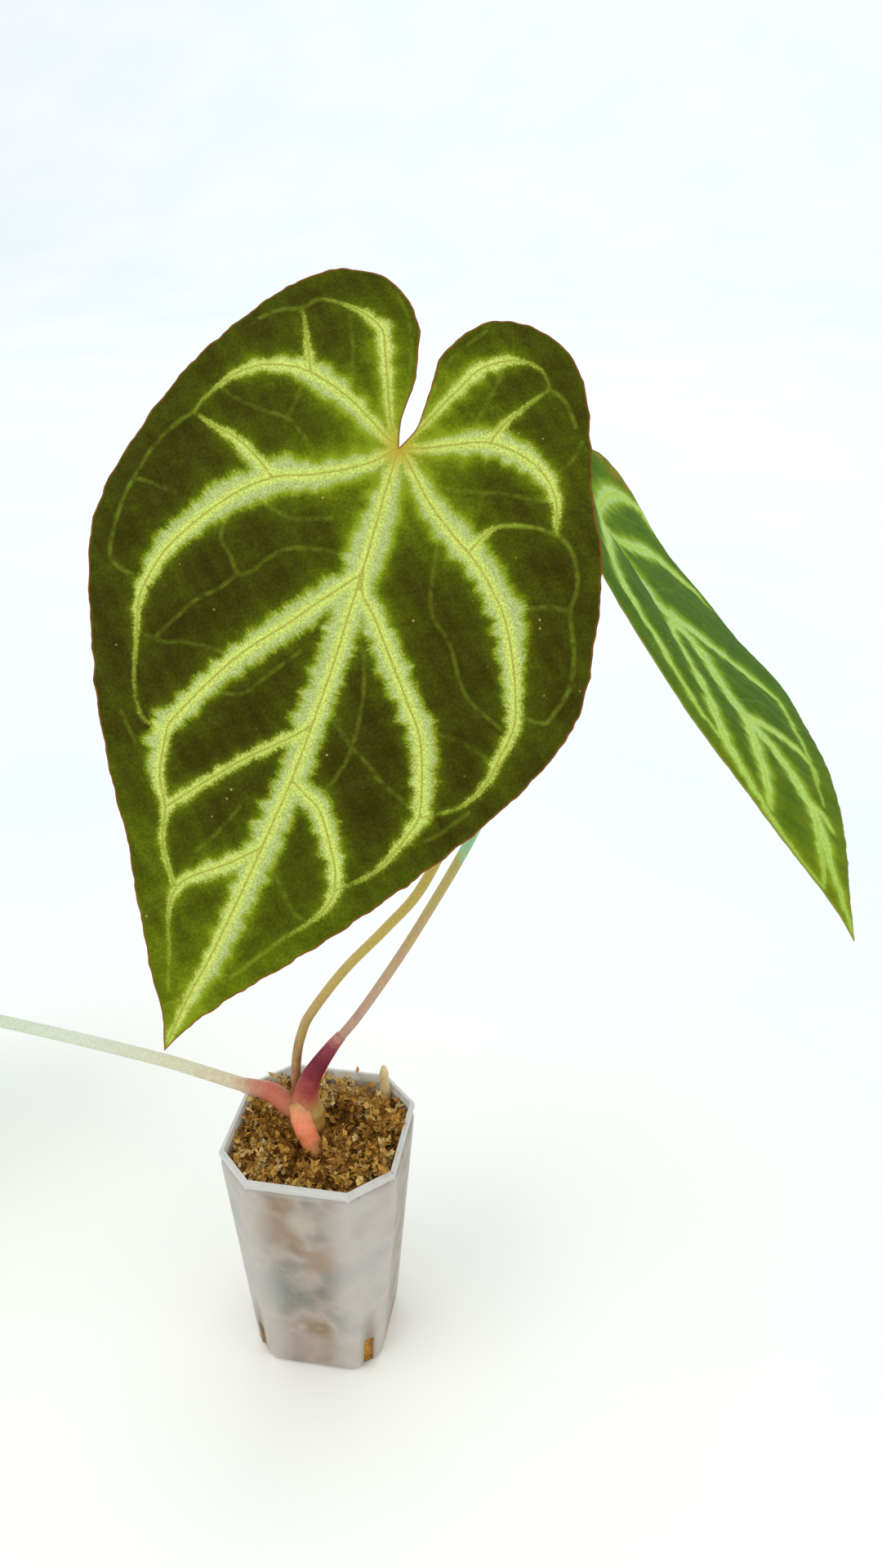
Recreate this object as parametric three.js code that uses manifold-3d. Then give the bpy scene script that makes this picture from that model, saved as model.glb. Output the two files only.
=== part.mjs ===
// Potted anthurium: three heart-shaped velvet leaves on long stalks, a short stem with a
// thick aerial root, and a plug of sphagnum moss in a deep square nursery pot.
// Millimetres, +Z up. The origin is the centre of the pot's flat underside and the front
// leaf faces -Y.
import * as THREE from 'three';
import { mergeVertices } from 'three/addons/utils/BufferGeometryUtils.js';
import Module from 'manifold-3d';

// Pot
const potHeight = 94;
const rimWidth = 63.5; // across the flats, over the lip
const baseWidth = 46.5;
const rimChamfer = 13.5; // leg of the cut corner at the rim
const baseChamfer = 8;
const wall = 1;
const floorThickness = 1.4;
const lipProud = 0.8;
const lipHeight = 2.4;
const slotWidth = 4.2; // drain slot in each cut corner
const slotHeight = 15;
const slotReach = 7; // how far the slot runs in under the floor

// Moss
const clearance = 0.35; // gap between neighbouring pieces
const mossLevel = 87;
const mossHeap = 1.5; // the middle stands this much above the level
const mossEdgeDrop = 2.5; // the top rolls down this much at the wall
const mossEdgeGap = 0.9; // and draws back this far from it
const mossLump = 1.5;
const mossSides = 48;

// Leaves
const bladeThickness = 0.8;
const ribHeight = 1.1; // of the veins on the underside
const ribFlank = 2.6; // half the width of a rib's foot
const quilting = 1.2; // how far the panels between the veins stand up
const quiltReach = 9;
const marginStep = 6.5;
const veinStep = 7;
const panelStep = 9.5;
const tightest = 2; // no two points of a blade's net stand nearer than about this

// Half outlines of a leaf, from the sinus round the lobe to the tip. The first number runs
// to the right across the blade, the second along the midrib from the stalk to the tip.
const rightMargin = [
  [0, 0], [2, -6], [1.6, -14], [0.8, -23], [3.4, -31], [9, -37], [17, -39], [26, -37],
  [34, -30], [40, -19], [45, -7], [53, 8], [58, 24], [61, 41], [58, 56], [50, 74],
  [38, 94], [24, 115], [9, 135], [3, 145], [0, 152],
];
const leftMargin = [
  [0, 0], [-2, -6], [-2.6, -14], [-4.4, -22], [-8.5, -31], [-15, -36], [-24, -37.5],
  [-33, -34], [-41, -26], [-47, -15], [-54, 1], [-59, 14], [-61, 29], [-59, 46],
  [-52, 64], [-38, 88], [-24, 109], [-11, 131], [-4, 142], [0, 152],
];

// Main veins of the front leaf in the same coordinates, the midrib first
const frontVeins = [
  [[0, 0], [1.6, 12], [2.4, 24], [4, 40], [5, 58], [6, 80], [5.4, 97], [4.2, 110],
    [2.6, 125], [1, 138], [0, 151]],
  [[0, 0], [-4.3, -5.3], [-8.5, -13.7], [-11.8, -20.3], [-14.3, -25], [-18, -27],
    [-23, -27.8], [-31, -27.2]],
  [[0, 0], [-7.7, -3.2], [-14.3, -6.3], [-21.8, -8.4], [-29.3, -9.1], [-36, -7.3],
    [-41, -3.7], [-44.8, 1.3], [-47.7, 9]],
  [[-26, -9], [-28, -13.2], [-30.2, -17], [-34.5, -23.5]],
  [[0, 0], [-4.6, 5.2], [-9.4, 9.3], [-16, 13.5], [-22.5, 16.7], [-27.4, 20.6],
    [-32.3, 26.4], [-37.8, 34.5], [-41, 42], [-42.5, 50.3], [-42.6, 56], [-40.2, 62.8],
    [-37.3, 71.2], [-32.7, 78.7]],
  [[-24.3, 17.8], [-29.3, 14.3], [-33.5, 12.5], [-37.7, 11.1], [-46.4, 9.6]],
  [[3, 31], [-3, 39], [-8.5, 47.8], [-15, 57], [-19.9, 65.6], [-23.6, 74.7], [-25.2, 80],
    [-23.6, 90], [-19.4, 97], [-17, 104.8], [-11.5, 113]],
  [[5.3, 67], [2, 71.2], [-6, 79.5], [-12.7, 87.9], [-18.9, 96.3]],
  [[5.4, 97], [-0.8, 103.2], [-7.7, 109.2], [-10.3, 113.5], [-10, 119.7], [-6.8, 128]],
  [[0, 0], [3.3, -7], [6.7, -16.2], [10, -24], [15, -28.7], [20, -30.3], [26, -28]],
  [[0, 0], [5.4, -1.2], [12.7, -5.9], [19.3, -8.8], [26.6, -8.9], [33.2, -6.4],
    [37.9, -2], [41, 5.3]],
  [[19.3, -8.8], [20.4, -14.5], [23.8, -21.2], [26.8, -26.2]],
  [[0, 0], [4.1, 3.7], [12.5, 10.5], [20.8, 15.4], [27.4, 19.4], [33.4, 23.8],
    [37.5, 28.1], [42.3, 35.7], [46.2, 43.2], [48.2, 50.3], [47.9, 57.8], [46.5, 66],
    [43.3, 72]],
  [[25, 17], [25.8, 12.5], [28.3, 8.9], [35.8, 5.9], [43, 6.2], [48.3, 11.3], [50.2, 20.3]],
  [[3.5, 30], [5, 34.5], [9.9, 39.2], [16.6, 46.3], [23.2, 53.4], [29.1, 60],
    [32.8, 67.9], [35.6, 76.6], [34.9, 82], [31.5, 92], [24.7, 99.8]],
  [[6, 80], [10, 82], [14, 84.5], [19, 90], [22.6, 96.3], [24.2, 101.8], [22, 108],
    [16.7, 115.5], [9.2, 128]],
];
const rightLeafVeins = [
  [[0, 0], [1.5, 10], [3, 20], [4, 31], [6, 38], [9.5, 46], [10, 54], [7, 64], [5, 73],
    [4.5, 82], [6, 88], [8, 94], [9, 101], [8, 115], [6, 124], [2, 134], [0, 151]],
  [[0, 0], [-6, -10], [-13, -20], [-22, -28], [-31, -28]],
  [[0, 0], [-13, -6], [-27, -9], [-40, -4], [-49, 9]],
  [[0, 0], [-14, 12], [-28, 28], [-38, 42], [-41, 53], [-37, 63], [-32.5, 72], [-31, 80],
    [-27, 92], [-21, 100]],
  [[8, 42], [0, 48], [-8, 60], [-12, 71], [-15, 82], [-18, 91], [-19.5, 101], [-18, 110],
    [-15.5, 120], [-11, 130], [-5, 139]],
  [[5, 82], [1, 90], [-4, 99], [-7.5, 107], [-13.5, 118]],
  [[7.5, 118], [2, 126], [-2, 134], [-5, 139]],
  [[0, 0], [4, -7], [10, -14.5], [18, -22], [25, -25], [32, -25], [37, -23], [39, -16]],
  [[0, 0], [8, 4.5], [17, 2.5], [27, 0], [34, 1], [40, 4.5], [47, 8.5], [52, 15]],
  [[5, 35.5], [14, 39.5], [22, 44], [28, 49], [36, 55], [42.5, 60], [43, 67], [38, 77],
    [32, 88], [24, 100], [17, 112]],
  [[5, 83], [14, 83.5], [21, 86], [26, 90.5], [27, 96], [24, 102]],
  [[8.5, 110], [12, 116], [13, 121]],
];

// How each leaf is held. attach is the end of its stalk; heading is the compass angle of
// its tip from +X, droop the fall of the midrib there below level, swing a turn in the
// blade's own plane, roll a turn about the midrib, bend and twist degrees per 100 mm.
const frontLeaf = {
  attach: [39, -35, 337], heading: -80.2, droop: 55, swing: 22, roll: 0, bend: 13,
  twist: 0, fold: 0.06, foldGain: 0, sag: 6, curl: 0, wave: 1.3, waveLength: 47,
  scale: 1, mirror: 1, veins: frontVeins,
};
const rightLeaf = {
  attach: [79.3, 45.1, 296.1], heading: -47, droop: 20, swing: 7.1, roll: 45, bend: 1.8,
  twist: -16.5, fold: 0.096, foldGain: -0.241, sag: 0, curl: 3.4, wave: 0.3,
  waveLength: 43, scale: 0.965, mirror: 1, veins: rightLeafVeins,
};
const leftLeaf = {
  attach: [-176, 43, 98], heading: 166, droop: 16, swing: -6, roll: -6, bend: 24,
  twist: 0, fold: 0.08, foldGain: 0, sag: 6, curl: 0, wave: 1.3, waveLength: 39,
  scale: 0.66, mirror: -1, veins: frontVeins,
};

// Stalks: points by hand from the stem up, then each runs square into its blade
const frontStalkRoute = [
  [-8.9, 5.4, 104], [-9.1, 6.2, 109], [-8.6, 7.8, 118], [-6.7, 8.5, 126.6], [-2.9, 7.9, 136],
  [8.9, 9.4, 154.2], [23.1, 10, 172], [34.9, 8.7, 189.2], [46.7, 5.5, 217.8],
  [54.7, 1.7, 242.2], [58.4, -3.7, 262.8], [58.7, -9.4, 284.1], [55.8, -15.3, 301.6],
  [49.8, -23.4, 318.5],
];
const rightStalkRoute = [
  [-5.2, 1.3, 103.3], [-3.5, 2.5, 110.4], [-0.6, 4.5, 116.3], [4.1, 7.4, 123.4],
  [12.4, 10.8, 134.4], [24.6, 14.6, 154.6], [34, 18.5, 171.5], [45.6, 22.5, 194.3],
  [53.7, 26.9, 212.5], [62.8, 31.8, 233.6], [70.2, 37.7, 254.8], [75.1, 42, 275],
];
const leftStalkRoute = [
  [-9.6, -0.4, 100.8], [-13.2, 1.8, 102.8], [-18.4, 4, 103.5], [-27.5, 5.6, 103.2],
  [-44.3, 11, 101.9], [-61.3, 15.8, 101.1], [-96.6, 24.4, 98.6], [-133.5, 32.7, 95.9],
  [-158, 38.5, 93.5],
];
const stalkRadius = { front: 1.9, right: 1.9, left: 1.8 };
const stalkSeat = 4; // the stalk meets the blade this far below the sinus
const genicle = { length: 13, swell: 0.35 }; // the thicker joint at the blade
const stalkFoot = { length: 30, swell: 0.25 }; // and the thicker foot at the stem

// Stem, root, sheaths and strand
const stemRoute = [[-4, -0.5, 74], [-5, 2.2, 90], [-5.3, 3, 105]];
const stemRadius = 6.7;
const rootRoute = [
  [-6.6, 0.5, 102.5], [-4.6, -3.6, 98], [-2.2, -5.4, 93], [0.6, -6.4, 87.5], [1.6, -7, 79],
];
const rootRadius = 3.2;
const rightSheathRoute = [
  [-5, 1.7, 103.4], [-3.5, 2.5, 110.4], [-0.6, 4.5, 116.3], [4.1, 7.4, 123.4], [7, 8.6, 127.3],
];
const rightSheathRadius = [5.3, 2.5]; // at the stem and at the tip
const leftSheathRoute = [
  [-10.6, 0.4, 101.2], [-13.6, 2, 102.7], [-18.4, 4, 103.3], [-28, 5.7, 103.1],
];
const leftSheathRadius = [4.6, 2.4];
const strandRoute = [[18.6, 22.4, 76], [18.5, 23.2, 84], [18.2, 24.1, 91], [17.4, 25.8, 101.6]];
const strandRadius = 2.5;

const wasm = await Module();
wasm.setup();

const radians = THREE.MathUtils.degToRad;
const vector = (xyz) => new THREE.Vector3(...xyz);

function finish(name, geometry, colour, roughness) {
  geometry.computeVertexNormals();
  const material = new THREE.MeshStandardMaterial({ color: colour, roughness, metalness: 0 });
  const mesh = new THREE.Mesh(geometry, material);
  mesh.name = name;
  return mesh;
}

function geometryFrom(points, triangles) {
  const geometry = new THREE.BufferGeometry();
  const flat = points.flatMap((p) => [p.x, p.y, p.z]);
  geometry.setAttribute('position', new THREE.Float32BufferAttribute(flat, 3));
  geometry.setIndex(triangles.flat());
  return geometry;
}

function toSolid(geometry) {
  const merged = mergeVertices(geometry, 1e-4);
  const solid = new wasm.Manifold(new wasm.Mesh({
    numProp: 3,
    vertProperties: merged.attributes.position.array,
    triVerts: new Uint32Array(merged.index.array),
  }));
  return solid;
}

function fromSolid(solid) {
  const { vertProperties, triVerts } = solid.getMesh();
  const geometry = new THREE.BufferGeometry();
  geometry.setAttribute('position', new THREE.BufferAttribute(vertProperties, 3));
  geometry.setIndex(new THREE.BufferAttribute(triVerts, 1));
  return geometry;
}

// What cuts takes off a body, each cut being a closed geometry
function cut(geometry, cuts) {
  let solid = toSolid(geometry);
  for (const tool of cuts) solid = solid.subtract(toSolid(tool));
  return fromSolid(solid);
}

// A closed skin over rings of points that all run the same way round, first ring lowest
function loft(rings) {
  const count = rings[0].length;
  const points = rings.flat();
  const triangles = [];
  for (let r = 0; r < rings.length - 1; r += 1) {
    for (let i = 0; i < count; i += 1) {
      const a = r * count + i;
      const b = r * count + ((i + 1) % count);
      triangles.push([a, b, b + count], [a, b + count, a + count]);
    }
  }
  const cap = (start, flip) => {
    const centre = new THREE.Vector3();
    for (let i = 0; i < count; i += 1) centre.addScaledVector(points[start + i], 1 / count);
    const middle = points.push(centre) - 1;
    for (let i = 0; i < count; i += 1) {
      const a = start + i;
      const b = start + ((i + 1) % count);
      triangles.push(flip ? [middle, b, a] : [middle, a, b]);
    }
  };
  cap(0, true);
  cap((rings.length - 1) * count, false);
  return geometryFrom(points, triangles);
}

// A round bar along a smooth curve; radiusAt takes the share of the way and its length
function bar(route, radiusAt, sides, steps, grow = 0) {
  const path = new THREE.CatmullRomCurve3(route.map(vector), false, 'centripetal');
  const length = path.getLength();
  const frames = path.computeFrenetFrames(steps, false);
  const rings = [];
  for (let s = 0; s <= steps; s += 1) {
    const centre = path.getPointAt(s / steps);
    const radius = radiusAt(s / steps, length) + grow;
    const ring = [];
    for (let i = 0; i < sides; i += 1) {
      const angle = (i / sides) * Math.PI * 2;
      ring.push(centre.clone()
        .addScaledVector(frames.normals[s], Math.cos(angle) * radius)
        .addScaledVector(frames.binormals[s], Math.sin(angle) * radius));
    }
    rings.push(ring);
  }
  return loft(rings);
}

// Distance from the middle to the side of a square with cut corners, at an angle
function octagonRadius(angle, half, leg) {
  const c = Math.abs(Math.cos(angle));
  const s = Math.abs(Math.sin(angle));
  return Math.min(half / Math.max(c, s), (2 * half - leg) / (c + s));
}

function octagonRing(width, leg, z) {
  const h = width / 2;
  const k = h - leg;
  const corners = [[k, -h], [h, -k], [h, k], [k, h], [-k, h], [-h, k], [-h, -k], [-k, -h]];
  return corners.map(([x, y]) => new THREE.Vector3(x, y, z));
}

// The pot's section without its lip at a height: width over the walls and corner leg
function potSection(z) {
  const share = z / potHeight;
  return {
    width: baseWidth + (rimWidth - 2 * lipProud - baseWidth) * share,
    leg: baseChamfer + (rimChamfer - baseChamfer) * share,
  };
}

function shrunk({ width, leg }, inset) {
  return { width: width - 2 * inset, leg: leg - inset * (2 - Math.SQRT2) };
}

function makePot() {
  const ring = ({ width, leg }, z) => octagonRing(width, leg, z);
  const lipFoot = potHeight - lipHeight;
  const lip = { width: rimWidth, leg: rimChamfer };
  const body = loft([
    ring(potSection(0), 0),
    ring(potSection(lipFoot - 1), lipFoot - 1),
    ring(lip, lipFoot),
    ring(lip, potHeight - 0.5),
    ring(shrunk(lip, 0.5), potHeight),
    ring(shrunk(potSection(potHeight), wall), potHeight),
    ring(shrunk(potSection(floorThickness), wall), floorThickness),
  ]);
  const slots = [];
  const { width, leg } = potSection(0);
  const cornerDistance = (width - leg) / Math.SQRT2;
  for (let i = 0; i < 4; i += 1) {
    const slot = new THREE.BoxGeometry(slotReach * 2, slotWidth, slotHeight * 2);
    slot.deleteAttribute('normal');
    slot.deleteAttribute('uv');
    slot.translate(cornerDistance, 0, 0);
    slot.rotateZ(Math.PI / 4 + (i * Math.PI) / 2);
    slots.push(slot);
  }
  return cut(body, slots);
}

// Lumps of moss: three crossing waves give mounds and hollows with no straight rows
function mossLumps(x, y) {
  return mossLump * (Math.sin(x / 3.1 + 1.2 * Math.sin(y / 5.3))
    + 0.8 * Math.sin(y / 2.7 + 1.4 * Math.sin(x / 4.1 + 1))
    + 0.6 * Math.sin((x + y) / 2.2 + 2));
}

function makeMoss() {
  const rings = [];
  const levels = 8;
  const bottom = floorThickness + clearance;
  const shoulder = mossLevel - mossEdgeDrop - 3;
  for (let l = 0; l <= levels; l += 1) {
    const z = bottom + ((shoulder - bottom) * l) / levels;
    const section = shrunk(potSection(z), wall + clearance);
    const ring = [];
    for (let i = 0; i < mossSides; i += 1) {
      const angle = ((i + 0.5) / mossSides) * Math.PI * 2;
      const dent = 0.7 * (1 + Math.sin(angle * 7 + z / 6) * Math.sin(z / 9 + angle * 3));
      const radius = octagonRadius(angle, section.width / 2, section.leg) - dent;
      ring.push(new THREE.Vector3(Math.cos(angle) * radius, Math.sin(angle) * radius, z));
    }
    rings.push(ring);
  }
  const section = shrunk(potSection(mossLevel), wall + mossEdgeGap);
  for (const share of [1, 0.96, 0.88, 0.77, 0.64, 0.5, 0.35, 0.2, 0.07]) {
    const ring = [];
    for (let i = 0; i < mossSides; i += 1) {
      const angle = ((i + 0.5) / mossSides) * Math.PI * 2;
      const radius = share * octagonRadius(angle, section.width / 2, section.leg);
      const x = Math.cos(angle) * radius;
      const y = Math.sin(angle) * radius;
      const z = mossLevel + mossHeap * (1 - share ** 2) - mossEdgeDrop * share ** 8
        + mossLumps(x, y) * (1 - 0.4 * share ** 6);
      ring.push(new THREE.Vector3(x, y, z));
    }
    rings.push(ring);
  }
  return loft(rings);
}

// The curved surface that a leaf's flat outline is laid on
function bladeSurface(leaf) {
  const heading = radians(leaf.heading);
  const droop = radians(leaf.droop);
  const level = new THREE.Vector3(Math.cos(heading), Math.sin(heading), 0);
  const up = new THREE.Vector3(0, 0, 1);
  const turned = (a, b, angle) => [
    a.clone().multiplyScalar(Math.cos(angle)).addScaledVector(b, -Math.sin(angle)),
    b.clone().multiplyScalar(Math.cos(angle)).addScaledVector(a, Math.sin(angle)),
  ];
  let [along, face] = turned(level, up, droop);
  let across = new THREE.Vector3().crossVectors(face, along);
  [along, across] = turned(along, across, radians(leaf.swing));
  [across, face] = turned(across, face, radians(leaf.roll));
  const bend = radians(leaf.bend) / 100;
  const twist = radians(leaf.twist) / 100;

  const rise = (u, v) => {
    const reach = Math.sqrt(u * u + 16) - 4;
    const slope = leaf.fold + (leaf.foldGain * (v - 60)) / 100;
    const edge = Math.min(Math.abs(u) / (50 * leaf.scale), 1.3) ** 2;
    const phase = (v / leaf.waveLength) * Math.PI * 2 + (u > 0 ? 0.6 : 2.4);
    return slope * reach - leaf.sag * (u / 50) ** 2 - leaf.curl * ((v - 60) / 60) ** 3
      + leaf.wave * edge * Math.sin(phase);
  };

  return (u, v, lift = 0) => {
    const turn = bend * v;
    const spine = vector(leaf.attach);
    spine.addScaledVector(along, Math.sin(turn) / bend);
    spine.addScaledVector(face, (Math.cos(turn) - 1) / bend);
    const bentFace = face.clone().multiplyScalar(Math.cos(turn))
      .addScaledVector(along, Math.sin(turn));
    const [right, normal] = turned(across, bentFace, twist * v);
    return spine.addScaledVector(right, u).addScaledVector(normal, rise(u, v) + lift);
  };
}

function distanceToPath(u, v, path) {
  let nearest = Infinity;
  for (let i = 0; i < path.length - 1; i += 1) {
    const [a, b] = [path[i], path[i + 1]];
    const run = b.clone().sub(a);
    const share = THREE.MathUtils.clamp(
      ((u - a.x) * run.x + (v - a.y) * run.y) / run.lengthSq(), 0, 1);
    nearest = Math.min(nearest, Math.hypot(u - a.x - run.x * share, v - a.y - run.y * share));
  }
  return nearest;
}

function smoothPath(points, scale, mirror, step) {
  const curve = new THREE.SplineCurve(
    points.map(([u, v]) => new THREE.Vector2(u * scale * mirror, v * scale)));
  return curve.getSpacedPoints(Math.max(2, Math.round(curve.getLength() / step)));
}

function insideOutline(u, v, outline) {
  let inside = false;
  for (let i = 0, j = outline.length - 1; i < outline.length; j = i, i += 1) {
    const [a, b] = [outline[i], outline[j]];
    if ((a.y > v) !== (b.y > v) && u < ((b.x - a.x) * (v - a.y)) / (b.y - a.y) + a.x) {
      inside = !inside;
    }
  }
  return inside;
}

// Delaunay triangles over flat points, added one by one
function triangulate(points) {
  const all = [...points];
  const far = 2000;
  const first = all.length;
  for (const [x, y] of [[-far, -far], [far, -far], [0, far]]) all.push(new THREE.Vector2(x, y));
  const circled = (a, b, c) => {
    const [p, q, r] = [all[a], all[b], all[c]];
    const d = 2 * ((q.x - p.x) * (r.y - p.y) - (q.y - p.y) * (r.x - p.x));
    const qq = (q.x - p.x) ** 2 + (q.y - p.y) ** 2;
    const rr = (r.x - p.x) ** 2 + (r.y - p.y) ** 2;
    const x = ((r.y - p.y) * qq - (q.y - p.y) * rr) / d;
    const y = ((q.x - p.x) * rr - (r.x - p.x) * qq) / d;
    return { corners: [a, b, c], x: x + p.x, y: y + p.y, reach: x * x + y * y };
  };
  let triangles = [circled(first, first + 1, first + 2)];
  points.forEach((point, index) => {
    const edges = new Map();
    triangles = triangles.filter((triangle) => {
      const gap = (point.x - triangle.x) ** 2 + (point.y - triangle.y) ** 2;
      if (gap >= triangle.reach) return true;
      const [a, b, c] = triangle.corners;
      for (const [from, to] of [[a, b], [b, c], [c, a]]) {
        if (!edges.delete(`${to} ${from}`)) edges.set(`${from} ${to}`, [from, to]);
      }
      return false;
    });
    for (const [from, to] of edges.values()) triangles.push(circled(from, to, index));
  });
  return triangles.map((triangle) => triangle.corners)
    .filter((corners) => corners.every((corner) => corner < first));
}

// A leaf blade: one thin solid with the same triangles on both faces, panels that stand up
// between the veins, and veins that stand out as ribs underneath
function makeBlade(leaf) {
  const surface = bladeSurface(leaf);
  const halves = [rightMargin, leftMargin].map(
    (half) => smoothPath(half, leaf.scale, leaf.mirror, marginStep / 3));
  const thinned = (half) => half.filter((point, i) => {
    const atSinus = point.y < 2 && Math.abs(point.x) < 9 && i < half.length / 3;
    return atSinus || i % 3 === 0 || i === half.length - 1;
  });
  const [right, left] = halves.map(thinned);
  const outline = [...right, ...left.slice(1, -1).reverse()];

  const veins = leaf.veins.map((vein) => smoothPath(vein, leaf.scale, leaf.mirror, veinStep));
  const points = [...outline];
  const margin = [...outline, outline[0]];
  const place = (u, v, toMargin, toOthers) => {
    if (!insideOutline(u, v, outline) || distanceToPath(u, v, margin) < toMargin) return;
    if (points.some((p) => Math.hypot(p.x - u, p.y - v) < toOthers)) return;
    const shake = 0.02 * Math.sin(points.length * 12.9898);
    points.push(new THREE.Vector2(u + shake, v - shake));
  };
  for (const vein of veins) for (const p of vein) place(p.x, p.y, 1.4, tightest);
  for (const vein of veins) {
    vein.forEach((p, i) => {
      const before = vein[Math.max(i - 1, 0)];
      const after = vein[Math.min(i + 1, vein.length - 1)];
      const side = after.clone().sub(before).normalize().multiplyScalar(ribFlank);
      place(p.x - side.y, p.y + side.x, tightest, tightest);
      place(p.x + side.y, p.y - side.x, tightest, tightest);
    });
  }
  const row = panelStep * Math.sqrt(0.75);
  for (let j = -6; j < 20; j += 1) {
    for (let i = -9; i < 9; i += 1) {
      place((i + (j % 2) / 2) * panelStep, j * row, panelStep * 0.45, panelStep * 0.55);
    }
  }

  const triangles = triangulate(points).map(([a, b, c]) => {
    const [p, q, r] = [points[a], points[b], points[c]];
    const turn = (q.x - p.x) * (r.y - p.y) - (q.y - p.y) * (r.x - p.x);
    return turn > 0 ? [a, c, b] : [a, b, c];
  }).filter(([a, b, c]) => {
    const [p, q, r] = [points[a], points[b], points[c]];
    return insideOutline((p.x + q.x + r.x) / 3, (p.y + q.y + r.y) / 3, outline);
  });

  const upper = [];
  const lower = [];
  for (const { x, y } of points) {
    const toVein = Math.min(...veins.map((vein) => distanceToPath(x, y, vein)));
    const toMargin = distanceToPath(x, y, margin);
    const panel = quilting * (1 - Math.exp(-((toVein / quiltReach) ** 2)))
      * Math.min(toMargin / 8, 1);
    const rib = ribHeight * Math.exp(-((toVein / (ribFlank * 0.55)) ** 2))
      * Math.min(toMargin / 6, 1);
    upper.push(surface(x, y, panel + bladeThickness / 2));
    lower.push(surface(x, y, panel - bladeThickness / 2 - rib));
  }
  const count = points.length;
  const open = new Map();
  for (const [a, b, c] of triangles) {
    for (const [from, to] of [[a, b], [b, c], [c, a]]) {
      if (!open.delete(`${to} ${from}`)) open.set(`${from} ${to}`, [from, to]);
    }
  }
  const faces = [];
  for (const [a, b, c] of triangles) faces.push([a, b, c], [a + count, c + count, b + count]);
  for (const [from, to] of open.values()) {
    faces.push([from, from + count, to + count], [from, to + count, to]);
  }
  return geometryFrom([...upper, ...lower], faces);
}

// A stalk from the stem to just under its blade, thicker at the joint with the blade
function stalkRoute(route, leaf) {
  const surface = bladeSurface(leaf);
  const v = stalkSeat * leaf.scale;
  const gap = bladeThickness / 2 + ribHeight + clearance;
  const seat = surface(0, v, -gap);
  const before = surface(0, v, -gap - 8);
  return [...route, before.toArray(), seat.toArray()];
}

function stalk(route, radius, grow = 0) {
  const radiusAt = (share, length) => {
    const toBlade = (1 - share) * length;
    return radius * (1 + genicle.swell * Math.exp(-((toBlade / genicle.length) ** 2))
      + stalkFoot.swell * Math.exp(-((share * length) / stalkFoot.length)));
  };
  return bar(route, radiusAt, 10, 34, grow);
}

const routes = {
  front: stalkRoute(frontStalkRoute, frontLeaf),
  right: stalkRoute(rightStalkRoute, rightLeaf),
  left: stalkRoute(leftStalkRoute, leftLeaf),
};
const stalks = (grow) => Object.keys(routes).map(
  (side) => stalk(routes[side], stalkRadius[side], grow));
const [frontStalk, rightStalk, leftStalk] = stalks(0);

// The stem narrows to a blunt top and is ringed by old leaf scars
const scarDepth = 0.35;
const scarPitch = 24; // radians along the stem
const blunt = (share, start) => Math.sqrt(
  Math.max(0.02, 1 - (Math.max(0, share - start) / (1.01 - start)) ** 2));
const stem = (grow) => bar(stemRoute, (share) => (
  (stemRadius - 1.2 * share ** 3 + scarDepth * Math.sin(share * scarPitch))
    * blunt(share, 0.86)), 16, 16, grow);
const root = (grow) => bar(rootRoute,
  (share) => rootRadius * (1 - 0.18 * share) * blunt(share, 0.9), 12, 14, grow);
const strand = (grow) => bar(strandRoute, (share) => strandRadius * (1 - 0.55 * share),
  7, 8, grow);
const sheath = (route, [atStem, atTip], grow) => bar(route,
  (share) => atStem + (atTip - atStem) * Math.sqrt(share), 14, 8, grow);

const inflatedStalks = stalks(clearance);
const roomForRightSheath = sheath(rightSheathRoute, rightSheathRadius, clearance);
const roomForLeftSheath = sheath(leftSheathRoute, leftSheathRadius, clearance);
const roomForSheaths = [roomForRightSheath, roomForLeftSheath];
const rightSheath = cut(sheath(rightSheathRoute, rightSheathRadius, 0), inflatedStalks);
const leftSheath = cut(sheath(leftSheathRoute, leftSheathRadius, 0),
  [...inflatedStalks, roomForRightSheath]);
const stemBody = cut(stem(0), [...inflatedStalks, ...roomForSheaths]);
const rootBody = cut(root(0), [stem(clearance), ...inflatedStalks, ...roomForSheaths]);
const mossBody = cut(makeMoss(), [stem(clearance), root(clearance), strand(clearance)]);

const plant = new THREE.Group();
plant.add(
  finish('pot', makePot(), 0xd9d7cf, 0.45),
  finish('moss', mossBody, 0x8a672c, 0.95),
  finish('moss_strand', strand(0), 0xcbb07a, 0.8),
  finish('stem', stemBody, 0xb08a44, 0.6),
  finish('aerial_root', rootBody, 0xd8815d, 0.5),
  finish('sheath_right', rightSheath, 0x6d1f26, 0.5),
  finish('sheath_left', leftSheath, 0xc06a55, 0.5),
  finish('petiole_front', frontStalk, 0xb29a4c, 0.5),
  finish('petiole_right', rightStalk, 0xb39a78, 0.5),
  finish('petiole_left', leftStalk, 0xc3cbab, 0.5),
  finish('blade_front', makeBlade(frontLeaf), 0x3e440c, 0.75),
  finish('blade_right', makeBlade(rightLeaf), 0x4f7a2c, 0.7),
  finish('blade_left', makeBlade(leftLeaf), 0x4a6a24, 0.7),
);

export default plant;
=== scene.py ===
import bpy
import math
import numpy as np
from functools import partial
from mathutils import Vector, Matrix, geometry


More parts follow.
